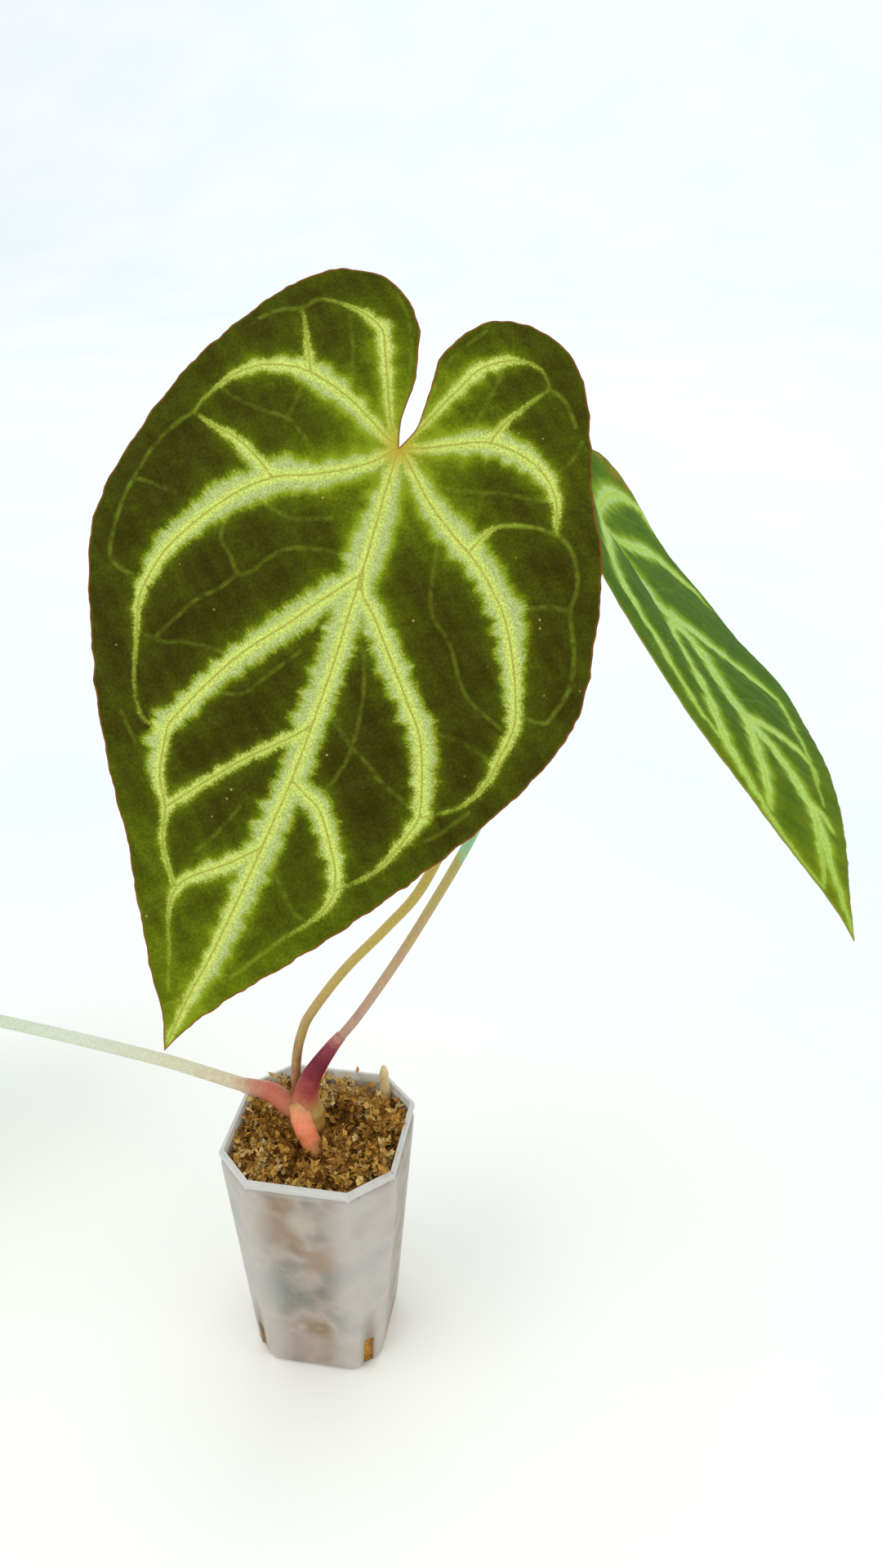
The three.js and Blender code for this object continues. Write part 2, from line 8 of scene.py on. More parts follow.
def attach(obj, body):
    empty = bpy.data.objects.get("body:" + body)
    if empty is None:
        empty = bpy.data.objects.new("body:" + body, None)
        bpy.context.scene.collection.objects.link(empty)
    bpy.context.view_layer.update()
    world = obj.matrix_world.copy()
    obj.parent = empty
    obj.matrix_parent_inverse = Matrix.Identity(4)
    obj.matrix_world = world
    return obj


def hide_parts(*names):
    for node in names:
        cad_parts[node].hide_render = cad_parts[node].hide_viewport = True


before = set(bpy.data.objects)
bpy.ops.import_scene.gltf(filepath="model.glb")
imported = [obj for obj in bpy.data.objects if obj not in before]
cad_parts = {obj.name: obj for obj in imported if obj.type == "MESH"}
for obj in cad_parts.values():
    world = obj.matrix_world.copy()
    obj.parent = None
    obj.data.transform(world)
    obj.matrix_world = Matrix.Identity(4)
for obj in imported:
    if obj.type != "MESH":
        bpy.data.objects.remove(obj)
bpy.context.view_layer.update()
mm = 0.001
chance = np.random.default_rng(41)

# camera: a phone held above the plant and tipped down at it
camera = {"place": (0.0995, -0.3298, 0.4101), "tilt": 61.9, "turn": 9.77, "lens": 30, "sensor": 36,
          "farthest": 30}
bpy.ops.object.camera_add(location=camera["place"],
                          rotation=(math.radians(camera["tilt"]), 0, math.radians(camera["turn"])))
lens = bpy.context.object
lens.name = "Camera"
lens.data.lens = camera["lens"]
lens.data.sensor_width = camera["sensor"]
lens.data.sensor_fit = "AUTO"
lens.data.clip_end = camera["farthest"]
bpy.context.scene.camera = lens
bpy.context.scene.view_settings.view_transform = "Standard"  # the colours as a plain photo shows them
print("camera is set")


def toLinear(hexColour):
    # sRGB hex to the linear colour that the shaders use
    parts = [int(hexColour[i:i + 2], 16) / 255 for i in (1, 3, 5)]
    return [c / 12.92 if c <= 0.04045 else ((c + 0.055) / 1.055) ** 2.4 for c in parts] + [1]


def addNode(tree, kind, inputs=(), out=0, stops=(), **settings):
    # one node with its settings, links and ramp colours; gives back the output asked for.
    # The inputs stand in the node's own order, or by name or number.
    node = tree.nodes.new("ShaderNode" + kind)
    for key, value in settings.items():
        setattr(node, key, value)
    for key, value in inputs.items() if isinstance(inputs, dict) else enumerate(inputs):
        if isinstance(value, bpy.types.NodeSocket):
            tree.links.new(value, node.inputs[key])
        else:
            node.inputs[key].default_value = toLinear(value) if isinstance(value, str) else value
    for i, (position, colour) in enumerate(stops):
        points = node.color_ramp.elements
        point = points[i] if i < 2 else points.new(position)
        point.position = position
        point.color = toLinear(colour)
    return node.outputs[out]


# settings that many nodes share
plus, times, most, timesPlus = [{"operation": kind} for kind in (
    "ADD", "MULTIPLY", "MAXIMUM", "MULTIPLY_ADD")]
eased = {"interpolation_type": "SMOOTHSTEP"}
free = {"clamp": False}
mixed = {"out": 2, "data_type": "RGBA"}


def newMaterial(name, values):
    # a fresh material with the fixed values of its surface set on the shader itself
    material = bpy.data.materials.new(name)
    material.use_nodes = True
    shader = material.node_tree.nodes["Principled BSDF"]
    for key, value in values.items():
        shader.inputs[key].default_value = toLinear(value) if isinstance(value, str) else value
    return material, partial(addNode, material.node_tree), shader


def dressShader(shader, sockets):
    # links what the nodes make to the surface
    for key, value in sockets.items():
        shader.id_data.links.new(value, shader.inputs[key])


def clearSelection():
    if bpy.context.object and bpy.context.object.mode != "OBJECT":
        bpy.ops.object.mode_set(mode="OBJECT")
    bpy.ops.object.select_all(action="DESELECT")


def pick(piece):
    clearSelection()
    piece.select_set(True)
    bpy.context.view_layer.objects.active = piece


def editAll():
    bpy.ops.object.mode_set(mode="EDIT")
    bpy.ops.mesh.select_all(action="SELECT")


def editDone():
    bpy.ops.object.mode_set(mode="OBJECT")


def settle(piece, name, material, slot, *nodes):
    # name the piece, put its place into its mesh, give it its material, hang it under the root body and
    # hide the imported parts it stands for
    pick(piece)
    bpy.ops.object.transform_apply(location=True, rotation=True, scale=True)
    piece.name = name
    piece.data.name = name
    piece.data.materials.clear()
    piece.data.materials.append(material)
    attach(piece, "root")
    if nodes:
        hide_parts(*nodes)


def pointsOf(piece):
    # the places of its points in mm
    points = np.empty(len(piece.data.vertices) * 3)
    piece.data.vertices.foreach_get("co", points)
    return points.reshape(-1, 3) / mm


def keepNumbers(piece, traits):
    # one number a point for the material to read
    for key, values in traits.items():
        piece.data.attributes.new(key, "FLOAT", "POINT").data.foreach_set(
            "value", np.asarray(values, dtype=np.float32))


def meshPiece(name, points, faces, traits):
    # points in mm
    mesh = bpy.data.meshes.new(name)
    mesh.from_pydata((np.asarray(points) * mm).tolist(), [], [list(map(int, f)) for f in faces])
    piece = bpy.data.objects.new(name, mesh)
    keepNumbers(piece, traits)
    bpy.context.scene.collection.objects.link(piece)
    mesh.polygons.foreach_set("use_smooth", [True] * len(mesh.polygons))
    mesh.update()
    return piece


def smoothPath(points, step):
    # a curve through the points, cut into equal steps; further columns are eased along
    p = np.array(points, dtype=float)
    p = np.vstack([p[:1], p, p[-1:]])
    t = np.linspace(0, 1, 16, endpoint=False)[:, None]
    runs = [0.5 * (2 * b + (c - a) * t + (2 * a - 5 * b + 4 * c - d) * t ** 2
                   + (3 * b - a - 3 * c + d) * t ** 3)
            for a, b, c, d in zip(p, p[1:], p[2:], p[3:])]
    fine = np.vstack(runs + [p[-1:]])
    flat = fine[:, :3] if len(points[0]) == 3 else fine[:, :2]
    far = np.r_[0, np.cumsum(np.linalg.norm(np.diff(flat, axis=0), axis=1))]
    count = max(2, int(round(far[-1] / step)))
    places = np.linspace(0, far[-1], count + 1)
    return np.column_stack([np.interp(places, far, column) for column in fine.T])


def waves(points, size, seed=0.0):
    # smooth wandering values in -1..1 whose hills are about size mm apart
    p = np.asarray(points, dtype=float) * (2 * math.pi / (2 * size))
    x, y = p[:, 0] + seed, p[:, 1] + 1.7 * seed
    z = p[:, 2] if p.shape[1] > 2 else 0 * x
    return (np.sin(x + 1.6 * np.sin(0.83 * y + 0.4 * z)) + np.sin(1.31 * y + 1.4 * np.sin(0.71 * z - x))
            + np.sin(0.9 * z + 0.8 * x - 1.1 * y)) / 3


# leaf blades: half outlines from the sinus round the lobe to the tip, mm across and mm towards the tip
outlines = {
    "right": [(0, 0), (2, -6), (1.6, -14), (0.8, -23), (3.4, -31), (9, -37), (17, -39), (26, -37),
        (34, -30), (40, -19), (45, -7), (53, 8), (58, 24), (61, 41), (58, 56), (50, 74), (38, 94),
        (24, 115), (9, 135), (3, 145), (0, 152)],
    "left": [(0, 0), (-2, -6), (-2.6, -14), (-4.4, -22), (-8.5, -31), (-15, -36), (-24, -37.5), (-33, -34),
        (-41, -26), (-47, -15), (-54, 1), (-59, 14), (-61, 29), (-59, 46), (-52, 64), (-38, 88), (-24, 109),
        (-11, 131), (-4, 142), (0, 152)],
}

# main veins outwards: place across and along, then the half width of the pale band, or its half
# widths on the left and on the right of that way
frontVeins = [
    [(0, 0, 2), (1.2, 12, 4.6, 3.2), (2.6, 24, 4.4, 4.6), (4, 40, 3.6, 4.3), (5, 52, 3, 4),
     (5.6, 66, 3, 4.3), (5.8, 80, 3.4, 3.3), (5, 97, 3.9, 3.7), (4.2, 110, 3.6, 2.4), (2.8, 125, 3.4, 1.5),
     (1, 138, 1.9, 1.1), (0, 151, 0.8, 0.6)],
    [(0, 0, 1.4), (-4.3, -5.3, 1.5), (-8.5, -13.7, 1.7), (-11.8, -20.3, 1.9), (-14.3, -24.9, 1.8, 1.9),
     (-18.1, -26.8, 1.4, 1.5), (-22.7, -27.7, 0.5, 0.6), (-31, -27.2, -0.2), (-34.3, -22.7, -0.6)],
    [(0, 0, 2), (-3.5, -1, 2.6, 2.2), (-7.7, -3.1, 3.6, 2.1), (-14.3, -6.2, 3.4, 2.2),
     (-21.8, -8.3, 3.4, 3.3), (-29.3, -9, 2.3, 2.4), (-36, -7.1, 1.7), (-41, -3.7, 1.3), (-44.8, 1.3, 0.5),
     (-47.5, 6.3, 0), (-47.9, 9, -0.2)],
    [(-26, -9.6, 1.4), (-28, -13.2, 1), (-30.2, -17, 0.6), (-33, -22, 0.1), (-34.5, -23.5, -0.3)],
    [(-24.3, 17.3, 3, 1.2), (-29.3, 14.3, 2.6, 1.2), (-33.5, 12.3, 2.1, 1.2), (-37.7, 11.1, 1.3, 0.9),
     (-42.7, 10.3, 0.7, 0.6), (-46.4, 9.3, 0.1)],
    [(0, 0, 2), (-1.9, 2.6, 2.4, 2.6), (-4.3, 5.5, 3.2, 3.4), (-9.3, 9.5, 3.3, 3.5), (-16, 13.4, 4, 3),
     (-22.7, 16.3, 4, 4.8), (-27.7, 20.1, 4.4, 3.9), (-32.7, 26, 3.7, 4.5), (-37.7, 34.5, 2.7, 3.4),
     (-41, 42, 2.1, 3.2), (-42.7, 50.3, 1.5, 2), (-42.5, 56, 1.1, 1.3), (-40.2, 62.8, 0.5, 0.6),
     (-37.3, 71.2, 0.1), (-32.7, 78.7, 0), (-28, 80.5, 0.1)],
    [(3, 31, 2.6), (-2.7, 39.1, 3.2, 3.4), (-8.5, 47.8, 3.4, 3.2), (-15.2, 57, 3.5, 2.6),
     (-19.8, 65.5, 2.9, 2.4), (-23.8, 74.7, 2.7), (-25.2, 78.7, 1.9, 4.2), (-24.8, 82, 1.3, 4),
     (-23.1, 90, 1.1, 2.3), (-19.2, 96.8, 1, 1.3), (-16.8, 104.7, 0.7, 0.9), (-11, 113, 0.4, 0.6)],
    [(5.2, 67, 1.4, 1.6), (2, 71.2, 1.4, 1.6), (-6, 79.5, 1.2, 1.3), (-12.7, 87.9, 1.3),
     (-18.9, 96.3, 1.6)],
    [(5, 97, 2.4, 2), (-1, 103.4, 2.5, 2), (-7.7, 109.3, 1.9, 1.6), (-10.3, 113.5, 1.3, 1.2),
     (-10, 119.7, 0.5), (-6.8, 128, 0), (-3.9, 137.2, -0.3)],
    [(0, 0, 1.4), (3.3, -7, 1.5), (6.7, -16.2, 1.7), (10, -24.1, 1.9), (15, -28.7, 1.3, 1.4),
     (20, -30.3, 0.3, 0.4), (24.2, -29.5, 0), (27, -26.2, -0.3)],
    [(0, 0, 2), (5, -1.6, 2.2), (12.5, -5.8, 3, 3.2), (19.2, -8.8, 3.7, 3.6), (26.7, -8.9, 2.9, 3.2),
     (33.3, -6.6, 2.3, 2.5), (37.9, -2, 1.4), (40, 3, 0.7), (40.8, 5.1, 0.3)],
    [(19, -9, 1.3), (20.4, -14.5, 0.9), (23.8, -21.2, 0.3), (26.8, -26.2, -0.2)],
    [(0, 0, 2), (4.2, 3.4, 2.6), (12.5, 10.5, 3.4, 3.2), (20.8, 15.5, 4.2, 3.2), (27.5, 19.2, 3.9, 2.9),
     (33.3, 24, 3.9, 3.2), (37.5, 28.2, 4.6, 3.2), (42.1, 35.5, 2.8), (45.9, 43.2, 1.6, 2.7),
     (48.3, 50.3, 1.6, 1.7), (47.9, 57.8, 1.1, 1.4), (47, 65.3, 0.8, 0.9), (43.3, 72, 0.2, 0.3),
     (36.5, 77, -0.2)],
    [(24, 17, 2), (25.8, 12.2, 1), (28.3, 8.8, 0.3), (35.8, 5.9, -0.1), (41.7, 5.5, -0.3)],
    [(3.5, 30, 2.6, 3), (5, 34.5, 2.6, 3), (10, 39.1, 2.7, 3.2), (16.7, 46.2, 3.1, 3.3),
     (23.3, 53.3, 2.8, 2.7), (29.2, 60, 3.5, 2.5), (32.9, 67.8, 2.8, 2.4), (35.7, 76.6, 2.4, 1.8),
     (35, 82, 1.4), (31.3, 92.2, 0.5, 0.6), (24.6, 99.7, -0.1)],
    [(5.8, 80, 2.6), (10, 82, 2.9, 2.6), (14.2, 84, 2.7), (19, 90, 2.3, 2.4), (22.8, 96, 1.9),
     (24.2, 101.8, 1.4, 1.3), (22.1, 108, 0.5), (16.7, 115.5, -0.1), (9.2, 128, -0.3)],
]
# fine veins that only glow softly, the brighter ones first
frontLoops = [
    [(-47.8, 8.4), (-51, 12.2), (-53.5, 17.2), (-54.7, 23), (-55.2, 32), (-54.7, 38.7), (-53.9, 43.7),
     (-52.7, 47.8), (-49.3, 49.5), (-43.5, 50)],
    [(-54.3, 28.4), (-43.5, 28.4)], [(-34.5, -23.5), (-38.5, -21.6), (-41, -19.5), (-43.5, -16)],
    [(41.7, 5.5), (45, 7.2), (48.3, 11.3), (50, 15.5), (50.3, 20.1), (52.5, 24.5), (55, 29.5), (56.5, 34.5),
     (56.7, 38.7), (55.8, 42.8), (54.6, 46.6), (48.6, 47.4)],
    [(37, 25), (41.7, 23.4), (45, 21.8), (50, 20.5)],
    [(26.8, -26.2), (30, -25.8), (33.3, -23.2), (35.8, -20.3)],
]
frontNet = [
    [(-14.3, -6.2), (-16, -10.3), (-18.5, -17), (-20.6, -21.2), (-23.1, -25.8)],
    [(-44.8, 1.3), (-38.5, 3), (-32.7, 3.4), (-26, 3.4), (-22.7, 5.1), (-19.3, 7.2), (-16, 12)],
    [(-26, 3.4), (-26.4, -7)], [(-41, 61.6), (-33.5, 61.6), (-29.3, 59.9), (-24.3, 59.1), (-18, 58.7)],
    [(-30.2, 23), (-30.2, 33.7), (-26, 37.8), (-22.7, 41.2), (-20.2, 39.5), (-17.7, 35.3), (-14.3, 31.6),
     (-9.3, 29.5), (-4.3, 28.3), (2, 27.4)],
    [(-22.7, 41.2), (-26, 46.2), (-29.3, 49.5), (-32.7, 55.3), (-36, 61.6)],
    [(31.7, 57.8), (39.2, 57.8), (45, 59.1), (46.7, 59.5)],
    [(5.6, 63), (10, 64.1), (15, 67.4), (20.8, 70.3), (25, 72.8), (34, 76)],
    [(16, 15), (20.8, 32), (27.5, 37.8), (33.3, 45.3), (37.5, 48.7), (47, 52)],
    [(6, 4), (10, 5.5), (16.7, 4.7), (20.8, 3.4), (27.5, 1.3), (33, 0), (38, -2)],
    [(13.8, -7), (13.8, -11.2), (14.6, -15.3), (15, -19.5), (15.4, -28)],
    [(33.3, -6.6), (35.8, -8.7), (37.9, -12.8), (38.5, -18)],
    [(1.2, -4), (2.1, -12.8), (2.5, -21.2), (3.8, -26.2), (8, -34)],
    [(-1, -4), (-3.5, -14.5), (-5.6, -21.2), (-7.7, -26.2), (-11, -31.2), (-14.3, -34.5)],
    [(-5, 20), (-14, 24), (-20, 24.5), (-28, 22)], [(-3, 52), (-8, 60), (-12, 66), (-20, 68)],
    [(10, 46), (14, 56), (16, 68), (15, 76), (12, 82)], [(-25, 90), (-30, 86), (-37, 80)],
    [(36, 84), (41, 80), (46, 72)], [(-3, 90), (-6, 98), (-9, 104), (-9, 109)],
    [(8, 100), (13, 104), (17, 108), (20, 109)],
]
rightVeins = [
    [(0, 0, 2.2), (1.5, 10, 3.6), (3, 20, 4), (4, 31, 4.2), (6, 38, 4.2, 4), (9.5, 46, 3.5), (10, 54, 3.2),
     (7, 64, 3.1), (5, 73, 3), (4.5, 82, 3.5, 3.2), (6, 88, 3.2, 3), (8, 94, 2.9, 2.8), (9, 101, 2.8, 2.6),
     (8, 115, 2.5), (6, 124, 2), (2, 134, 1.5), (0, 151, 0.6)],
    [(0, 0, 1.8), (-6, -10, 2.1), (-13, -20, 2), (-22, -28, 1.2), (-31, -28, 0.2)],
    [(0, 0, 2.2), (-13, -6, 3.2, 3), (-27, -9, 3), (-40, -4, 1.8), (-49, 9, 0.2)],
    [(0, 0, 2.2), (-14, 12, 3.8, 3.5), (-28, 28, 3.8), (-38, 42, 3, 3.2), (-41, 53, 2.8), (-37, 63, 2.4),
     (-32.5, 72, 2.1), (-31, 80, 1.8), (-27, 92, 1.1), (-21, 100, 0.6)],
    [(8, 42, 2), (0, 48, 2), (-8, 60, 2.2), (-12, 71, 2.2), (-15, 82, 2.2), (-18, 91, 2.5),
     (-19.5, 101, 2.2), (-18, 110, 1.6), (-15.5, 120, 1.1), (-11, 130, 0.6), (-5, 139, 0.4)],
    [(5, 82, 2.5), (1, 90, 2.4), (-4, 99, 2.2), (-7.5, 107, 2.1), (-13.5, 118, 1)],
    [(7.5, 118, 1.6), (2, 126, 1.4), (-2, 134, 0.9), (-5, 139, 0.4)],
    [(0, 0, 2), (4, -7, 2.8), (10, -14.5, 3.2), (18, -22, 3.4), (25, -25, 2.6), (32, -25, 2),
     (37, -23, 1.4), (39, -16, 0.4)],
    [(0, 0, 2.2), (8, 4.5, 3), (17, 2.5, 3.2), (27, 0, 3.2), (34, 1, 2.6), (40, 4.5, 2.1), (47, 8.5, 1.4),
     (52, 15, 0.4)],
    [(5, 35.5, 3.2), (14, 39.5, 3.8), (22, 44, 3.5), (28, 49, 3), (36, 55, 2.5), (42.5, 60, 1.8),
     (43, 67, 1.2), (38, 77, 1), (32, 88, 0.8), (24, 100, 0.6), (17, 112, 0.4)],
    [(5, 83, 2.5), (14, 83.5, 2.1), (21, 86, 2), (26, 90.5, 1.8), (27, 96, 1.1), (24, 102, 0.5)],
    [(8.5, 110, 2.4), (12, 116, 1.8), (13, 121, 0.8)],
]
rightNet = [
    [(4, 31), (15, 24), (28, 20), (40, 22), (50, 28)], [(17, 2.5), (22, 12), (28, 20)],
    [(28, 20), (30, 32), (28, 49)], [(-14, 12), (-8, 22), (-4, 34), (0, 48)],
    [(-28, 28), (-20, 36), (-14, 46), (-8, 60)], [(-38, 42), (-30, 50), (-22, 60), (-15, 82)],
    [(10, 54), (18, 60), (26, 64), (38, 66)], [(5, 73), (14, 74), (26, 72), (38, 77)],
    [(-12, 71), (-4, 74), (4.5, 78)], [(10, -14.5), (20, -12), (32, -12), (42, -6)],
    [(9, 101), (15, 100), (24, 102)], [(-4, 99), (2, 104), (7, 108)],
    [(-10, -3), (-18, 2), (-30, 8), (-42, 12)],
]

blade = {"thickness": 0.5, "ribHeight": 1.1, "ribFlank": 1.43, "quilting": 1.2, "quiltReach": 9,
         "length": 152, "toothSize": 1.95, "burnStrength": 0.75,
         # the net of points: its step and that along main, looping and net veins, its area, and in
         # steps how far a point strays and how near two may lie
         "step": 0.78, "veinSteps": (0.7, 0.8, 0.9), "rows": (-42, 154), "columns": (-66, 66),
         "stray": 0.12, "nearest": 0.62}
# attach in the frame's mm; heading, droop, swing, roll, bend and twist in degrees
leaves = {
    "blade_front": {
        "attach": (39, -35, 337), "heading": -80.2, "droop": 55, "swing": 22, "roll": 0,
        "bend": 13, "twist": 0, "fold": 0.06, "foldGain": 0, "sag": 6, "curl": 0, "wave": 1.3,
        "waveLength": 47, "scale": 1, "mirror": 1, "veins": frontVeins, "loops": frontLoops,
        "net": frontNet, "halo": 1, "bandShare": 0.97, "tipTone": 0.42, "burns": []},
    "blade_right": {
        "attach": (79.3, 45.1, 296.1), "heading": -47, "droop": 20, "swing": 7.1, "roll": 45,
        "bend": 1.8, "twist": -16.5, "fold": 0.096, "foldGain": -0.241, "sag": 0, "curl": 3.4,
        "wave": 0.3, "waveLength": 43, "scale": 0.965, "mirror": 1, "veins": rightVeins,
        "loops": [], "net": rightNet, "halo": 0.3, "bandShare": 1, "tipTone": 0.2,
        "burns": [(24, -35, 4.5), (31, -32, 3), (16, -37.5, 3)]},
}
leaves["blade_left"] = dict(
    leaves["blade_front"], attach=(-176, 43, 98), heading=166, droop=16, swing=-6, roll=-6, bend=24,
    fold=0.08, waveLength=39, scale=0.66, mirror=-1, bandShare=0.9)
# what each point of a blade tells its material; lengths in mm
leafTraits = ("bandDepth", "toVein", "alongVein", "tooth", "feather", "light", "toLoop", "toNet",
              "toMargin", "tone", "junction", "age", "burn", "underside")


def bladeSurface(leaf, u, v, lift):
    # lays flat leaf places on the leaf's bent, folded and twisted surface
    heading, droop = math.radians(leaf["heading"]), math.radians(leaf["droop"])
    level = np.array([math.cos(heading), math.sin(heading), 0])
    turned = lambda a, b, angle: (a * np.cos(angle) - b * np.sin(angle),
                                  b * np.cos(angle) + a * np.sin(angle))
    along, face = turned(level, np.array([0, 0, 1.0]), droop)
    across = np.cross(face, along)
    along, across = turned(along, across, math.radians(leaf["swing"]))
    across, face = turned(across, face, math.radians(leaf["roll"]))
    bend = math.radians(leaf["bend"]) / 100
    turn = (bend * v)[:, None]
    spine = np.array(leaf["attach"]) + along * np.sin(turn) / bend + face * (np.cos(turn) - 1) / bend
    bentFace = face * np.cos(turn) + along * np.sin(turn)
    right, normal = turned(across, bentFace, (math.radians(leaf["twist"]) / 100 * v)[:, None])
    slope = leaf["fold"] + leaf["foldGain"] * (v - 60) / 100
    edge = np.minimum(np.abs(u) / (50 * leaf["scale"]), 1.3) ** 2
    phase = v / leaf["waveLength"] * 2 * math.pi + np.where(u > 0, 0.6, 2.4)
    rise = (slope * (np.sqrt(u * u + 16) - 4) - leaf["sag"] * (u / 50) ** 2
            - leaf["curl"] * ((v - 60) / 60) ** 3 + leaf["wave"] * edge * np.sin(phase) + lift)
    return spine + right * u[:, None] + normal * rise[:, None]


def nearestOnPath(points, path):
    # distance to a path, how far along it, and which hand of it each point is on
    distance = np.full(len(points), 1e9)
    along, hand = np.zeros(len(points)), np.zeros(len(points))
    start = 0.0
    for a, b in zip(path[:-1, :2], path[1:, :2]):
        run = b - a
        length = math.hypot(*run)
        gap = points - a
        share = np.clip((gap @ run) / (length * length), 0, 1)
        reach = np.hypot(gap[:, 0] - run[0] * share, gap[:, 1] - run[1] * share)
        near = reach < distance
        distance[near] = reach[near]
        along[near] = start + share[near] * length
        hand[near] = (run[0] * gap[:, 1] - run[1] * gap[:, 0])[near]
        start += length
    return distance, along, hand


def insideOutline(points, outline):
    inside = np.zeros(len(points), dtype=bool)
    u, v = points.T
    for (au, av), (bu, bv) in zip(outline, np.roll(outline, 1, axis=0)):
        crosses = (av > v) != (bv > v)
        if av != bv:
            inside ^= crosses & (u < (bu - au) * (v - av) / (bv - av) + au)
    return inside


def makeBlade(name, leaf):
    scale, step = leaf["scale"], blade["step"] / leaf["scale"]
    right, left = [smoothPath(outlines[side], step) for side in ("right", "left")]
    outline = np.vstack([right, left[-2:0:-1]])
    # the margin wanders a little, as a grown one does, but not at the sinus and the tip
    outward = np.roll(outline, -1, axis=0) - np.roll(outline, 1, axis=0)
    outward = np.column_stack([outward[:, 1], -outward[:, 0]])
    outward /= np.linalg.norm(outward, axis=1)[:, None]
    calm = np.clip(np.hypot(*outline.T) / 25, 0, 1)
    calm *= np.clip((blade["length"] - outline[:, 1]) / 12, 0, 1)
    wander = 0.35 * waves(outline, 6, leaf["heading"]) + 0.15 * waves(outline, 2.2)
    outline = outline - outward * ((wander - 0.25) * calm)[:, None]

    # an even net of points, with the veins' own points put first
    mainStep, loopStep, netStep = blade["veinSteps"]
    veins = [smoothPath([(*place, place[-1])[:4] for place in vein], mainStep) for vein in leaf["veins"]]
    loops = [smoothPath(vein, loopStep) for vein in leaf["loops"]]
    net = [smoothPath(vein, netStep) for vein in leaf["net"]]
    rows = np.arange(*blade["rows"], step * math.sqrt(0.75))
    places = np.arange(*blade["columns"], step)
    lattice = np.vstack([np.column_stack([places + (i % 2) * step / 2, np.full(len(places), row)])
                         for i, row in enumerate(rows)])
    lattice += chance.uniform(-blade["stray"], blade["stray"], lattice.shape) * step
    inner = np.vstack([path[:, :2] for path in veins + loops + net] + [lattice])
    count = len(outline)
    cells = np.round(np.vstack([outline, inner]) / (step * blade["nearest"])).astype(int)
    first = np.unique(cells, axis=0, return_index=True)[1]
    inner = inner[np.sort(first[first >= count]) - count]
    inner = inner[insideOutline(inner, outline)]
    rim = [(i, (i + 1) % count) for i in range(count)]
    flat, _, triangles = geometry.delaunay_2d_cdt(
        [Vector(p) for p in np.vstack([outline, inner])], rim, [list(range(count))], 1, 1e-5)[:3]
    flat = np.array([tuple(p) for p in flat])
    triangles = np.array([t for t in triangles if len(t) == 3])
    total = len(flat)

    # how each point lies to the veins and the margin, in real mm
    bandDepth, toVein = np.full(total, -99.0), np.full(total, 99.0)
    alongVein, tooth, light = np.zeros(total), np.zeros(total), np.zeros(total)
    feather = np.full(total, 0.1)
    fromAttach = np.hypot(*flat.T)
    for number, path in enumerate(veins):
        distance, along, hand = nearestOnPath(flat, path)
        far = np.r_[0, np.cumsum(np.hypot(*np.diff(path[:, :2], axis=0).T))]
        width = np.where(hand > 0, np.interp(along, far, path[:, 3]), np.interp(along, far, path[:, 2]))
        side = np.column_stack([along + 37 * number, 23.0 * (hand > 0)])  # veins and hands differ
        width = width + 0.22 * np.clip(width, 0, 3) * waves(side, 2.7)
        width = width * (0.62 + 0.38 * np.clip(fromAttach / 24, 0, 1)) * leaf["bandShare"]
        depth = width - distance
        near = depth > bandDepth
        jag = np.clip(0.12 + 0.42 * width, 0.1, 2.0) * (1 + 0.5 * waves(side, 4.3, 2.0))
        for trait, values in ((bandDepth, depth), (alongVein, side[:, 0] + 11 * (hand > 0)), (tooth, jag),
                              (feather, np.clip(0.12 + 0.42 * width, 0.1, 1.7)),
                              (light, np.clip(0.36 + 0.34 * width, 0.2, 1))):
            trait[near] = values[near]
        toVein = np.minimum(toVein, distance)
    toLoop, toNet = [np.min([nearestOnPath(flat, path)[0] for path in paths], axis=0) if paths
                     else toVein + 30 for paths in (loops, net)]
    toMargin = nearestOnPath(flat, np.vstack([outline, outline[:1]]))[0]
    bandDepth, toVein, toLoop, toNet, toMargin = [
        part * scale for part in (bandDepth, toVein, toLoop, toNet, toMargin)]
    junction = np.exp(-fromAttach / 9)
    tooth *= np.clip(fromAttach / 28 - 0.15, 0.1, 1) * blade["toothSize"]
    light *= 0.82 + 0.18 * np.clip(fromAttach / 26, 0, 1)
    u, v = flat[:, 0] * scale * leaf["mirror"], flat[:, 1] * scale
    outside = np.minimum(bandDepth, 0)
    tone = (0.08 + 0.34 * light * np.exp(outside / 1.6)
            + (0.16 + 0.3 * leaf["halo"] * np.exp(-fromAttach / 22)) * light * np.exp(outside / 5)
            + 0.15 * np.exp(-toMargin / 6) + leaf["tipTone"] * np.clip((flat[:, 1] - 80) / 60, 0, 1)
            + 0.6 * leaf["halo"] * np.exp(-fromAttach / 20) + 0.10 * waves(flat, 9, 2.0)
            + 0.07 * waves(flat, 3.1, 5.0))
    age = np.clip((flat[:, 1] - 50) / 60, 0, 1)
    burn = np.zeros(total)
    for u0, v0, reach in leaf["burns"]:
        away = np.hypot(flat[:, 0] - u0, flat[:, 1] - v0) * (1 + 0.3 * waves(flat, 3)) / reach
        burn = np.maximum(burn, blade["burnStrength"] * np.exp(-away ** 2))

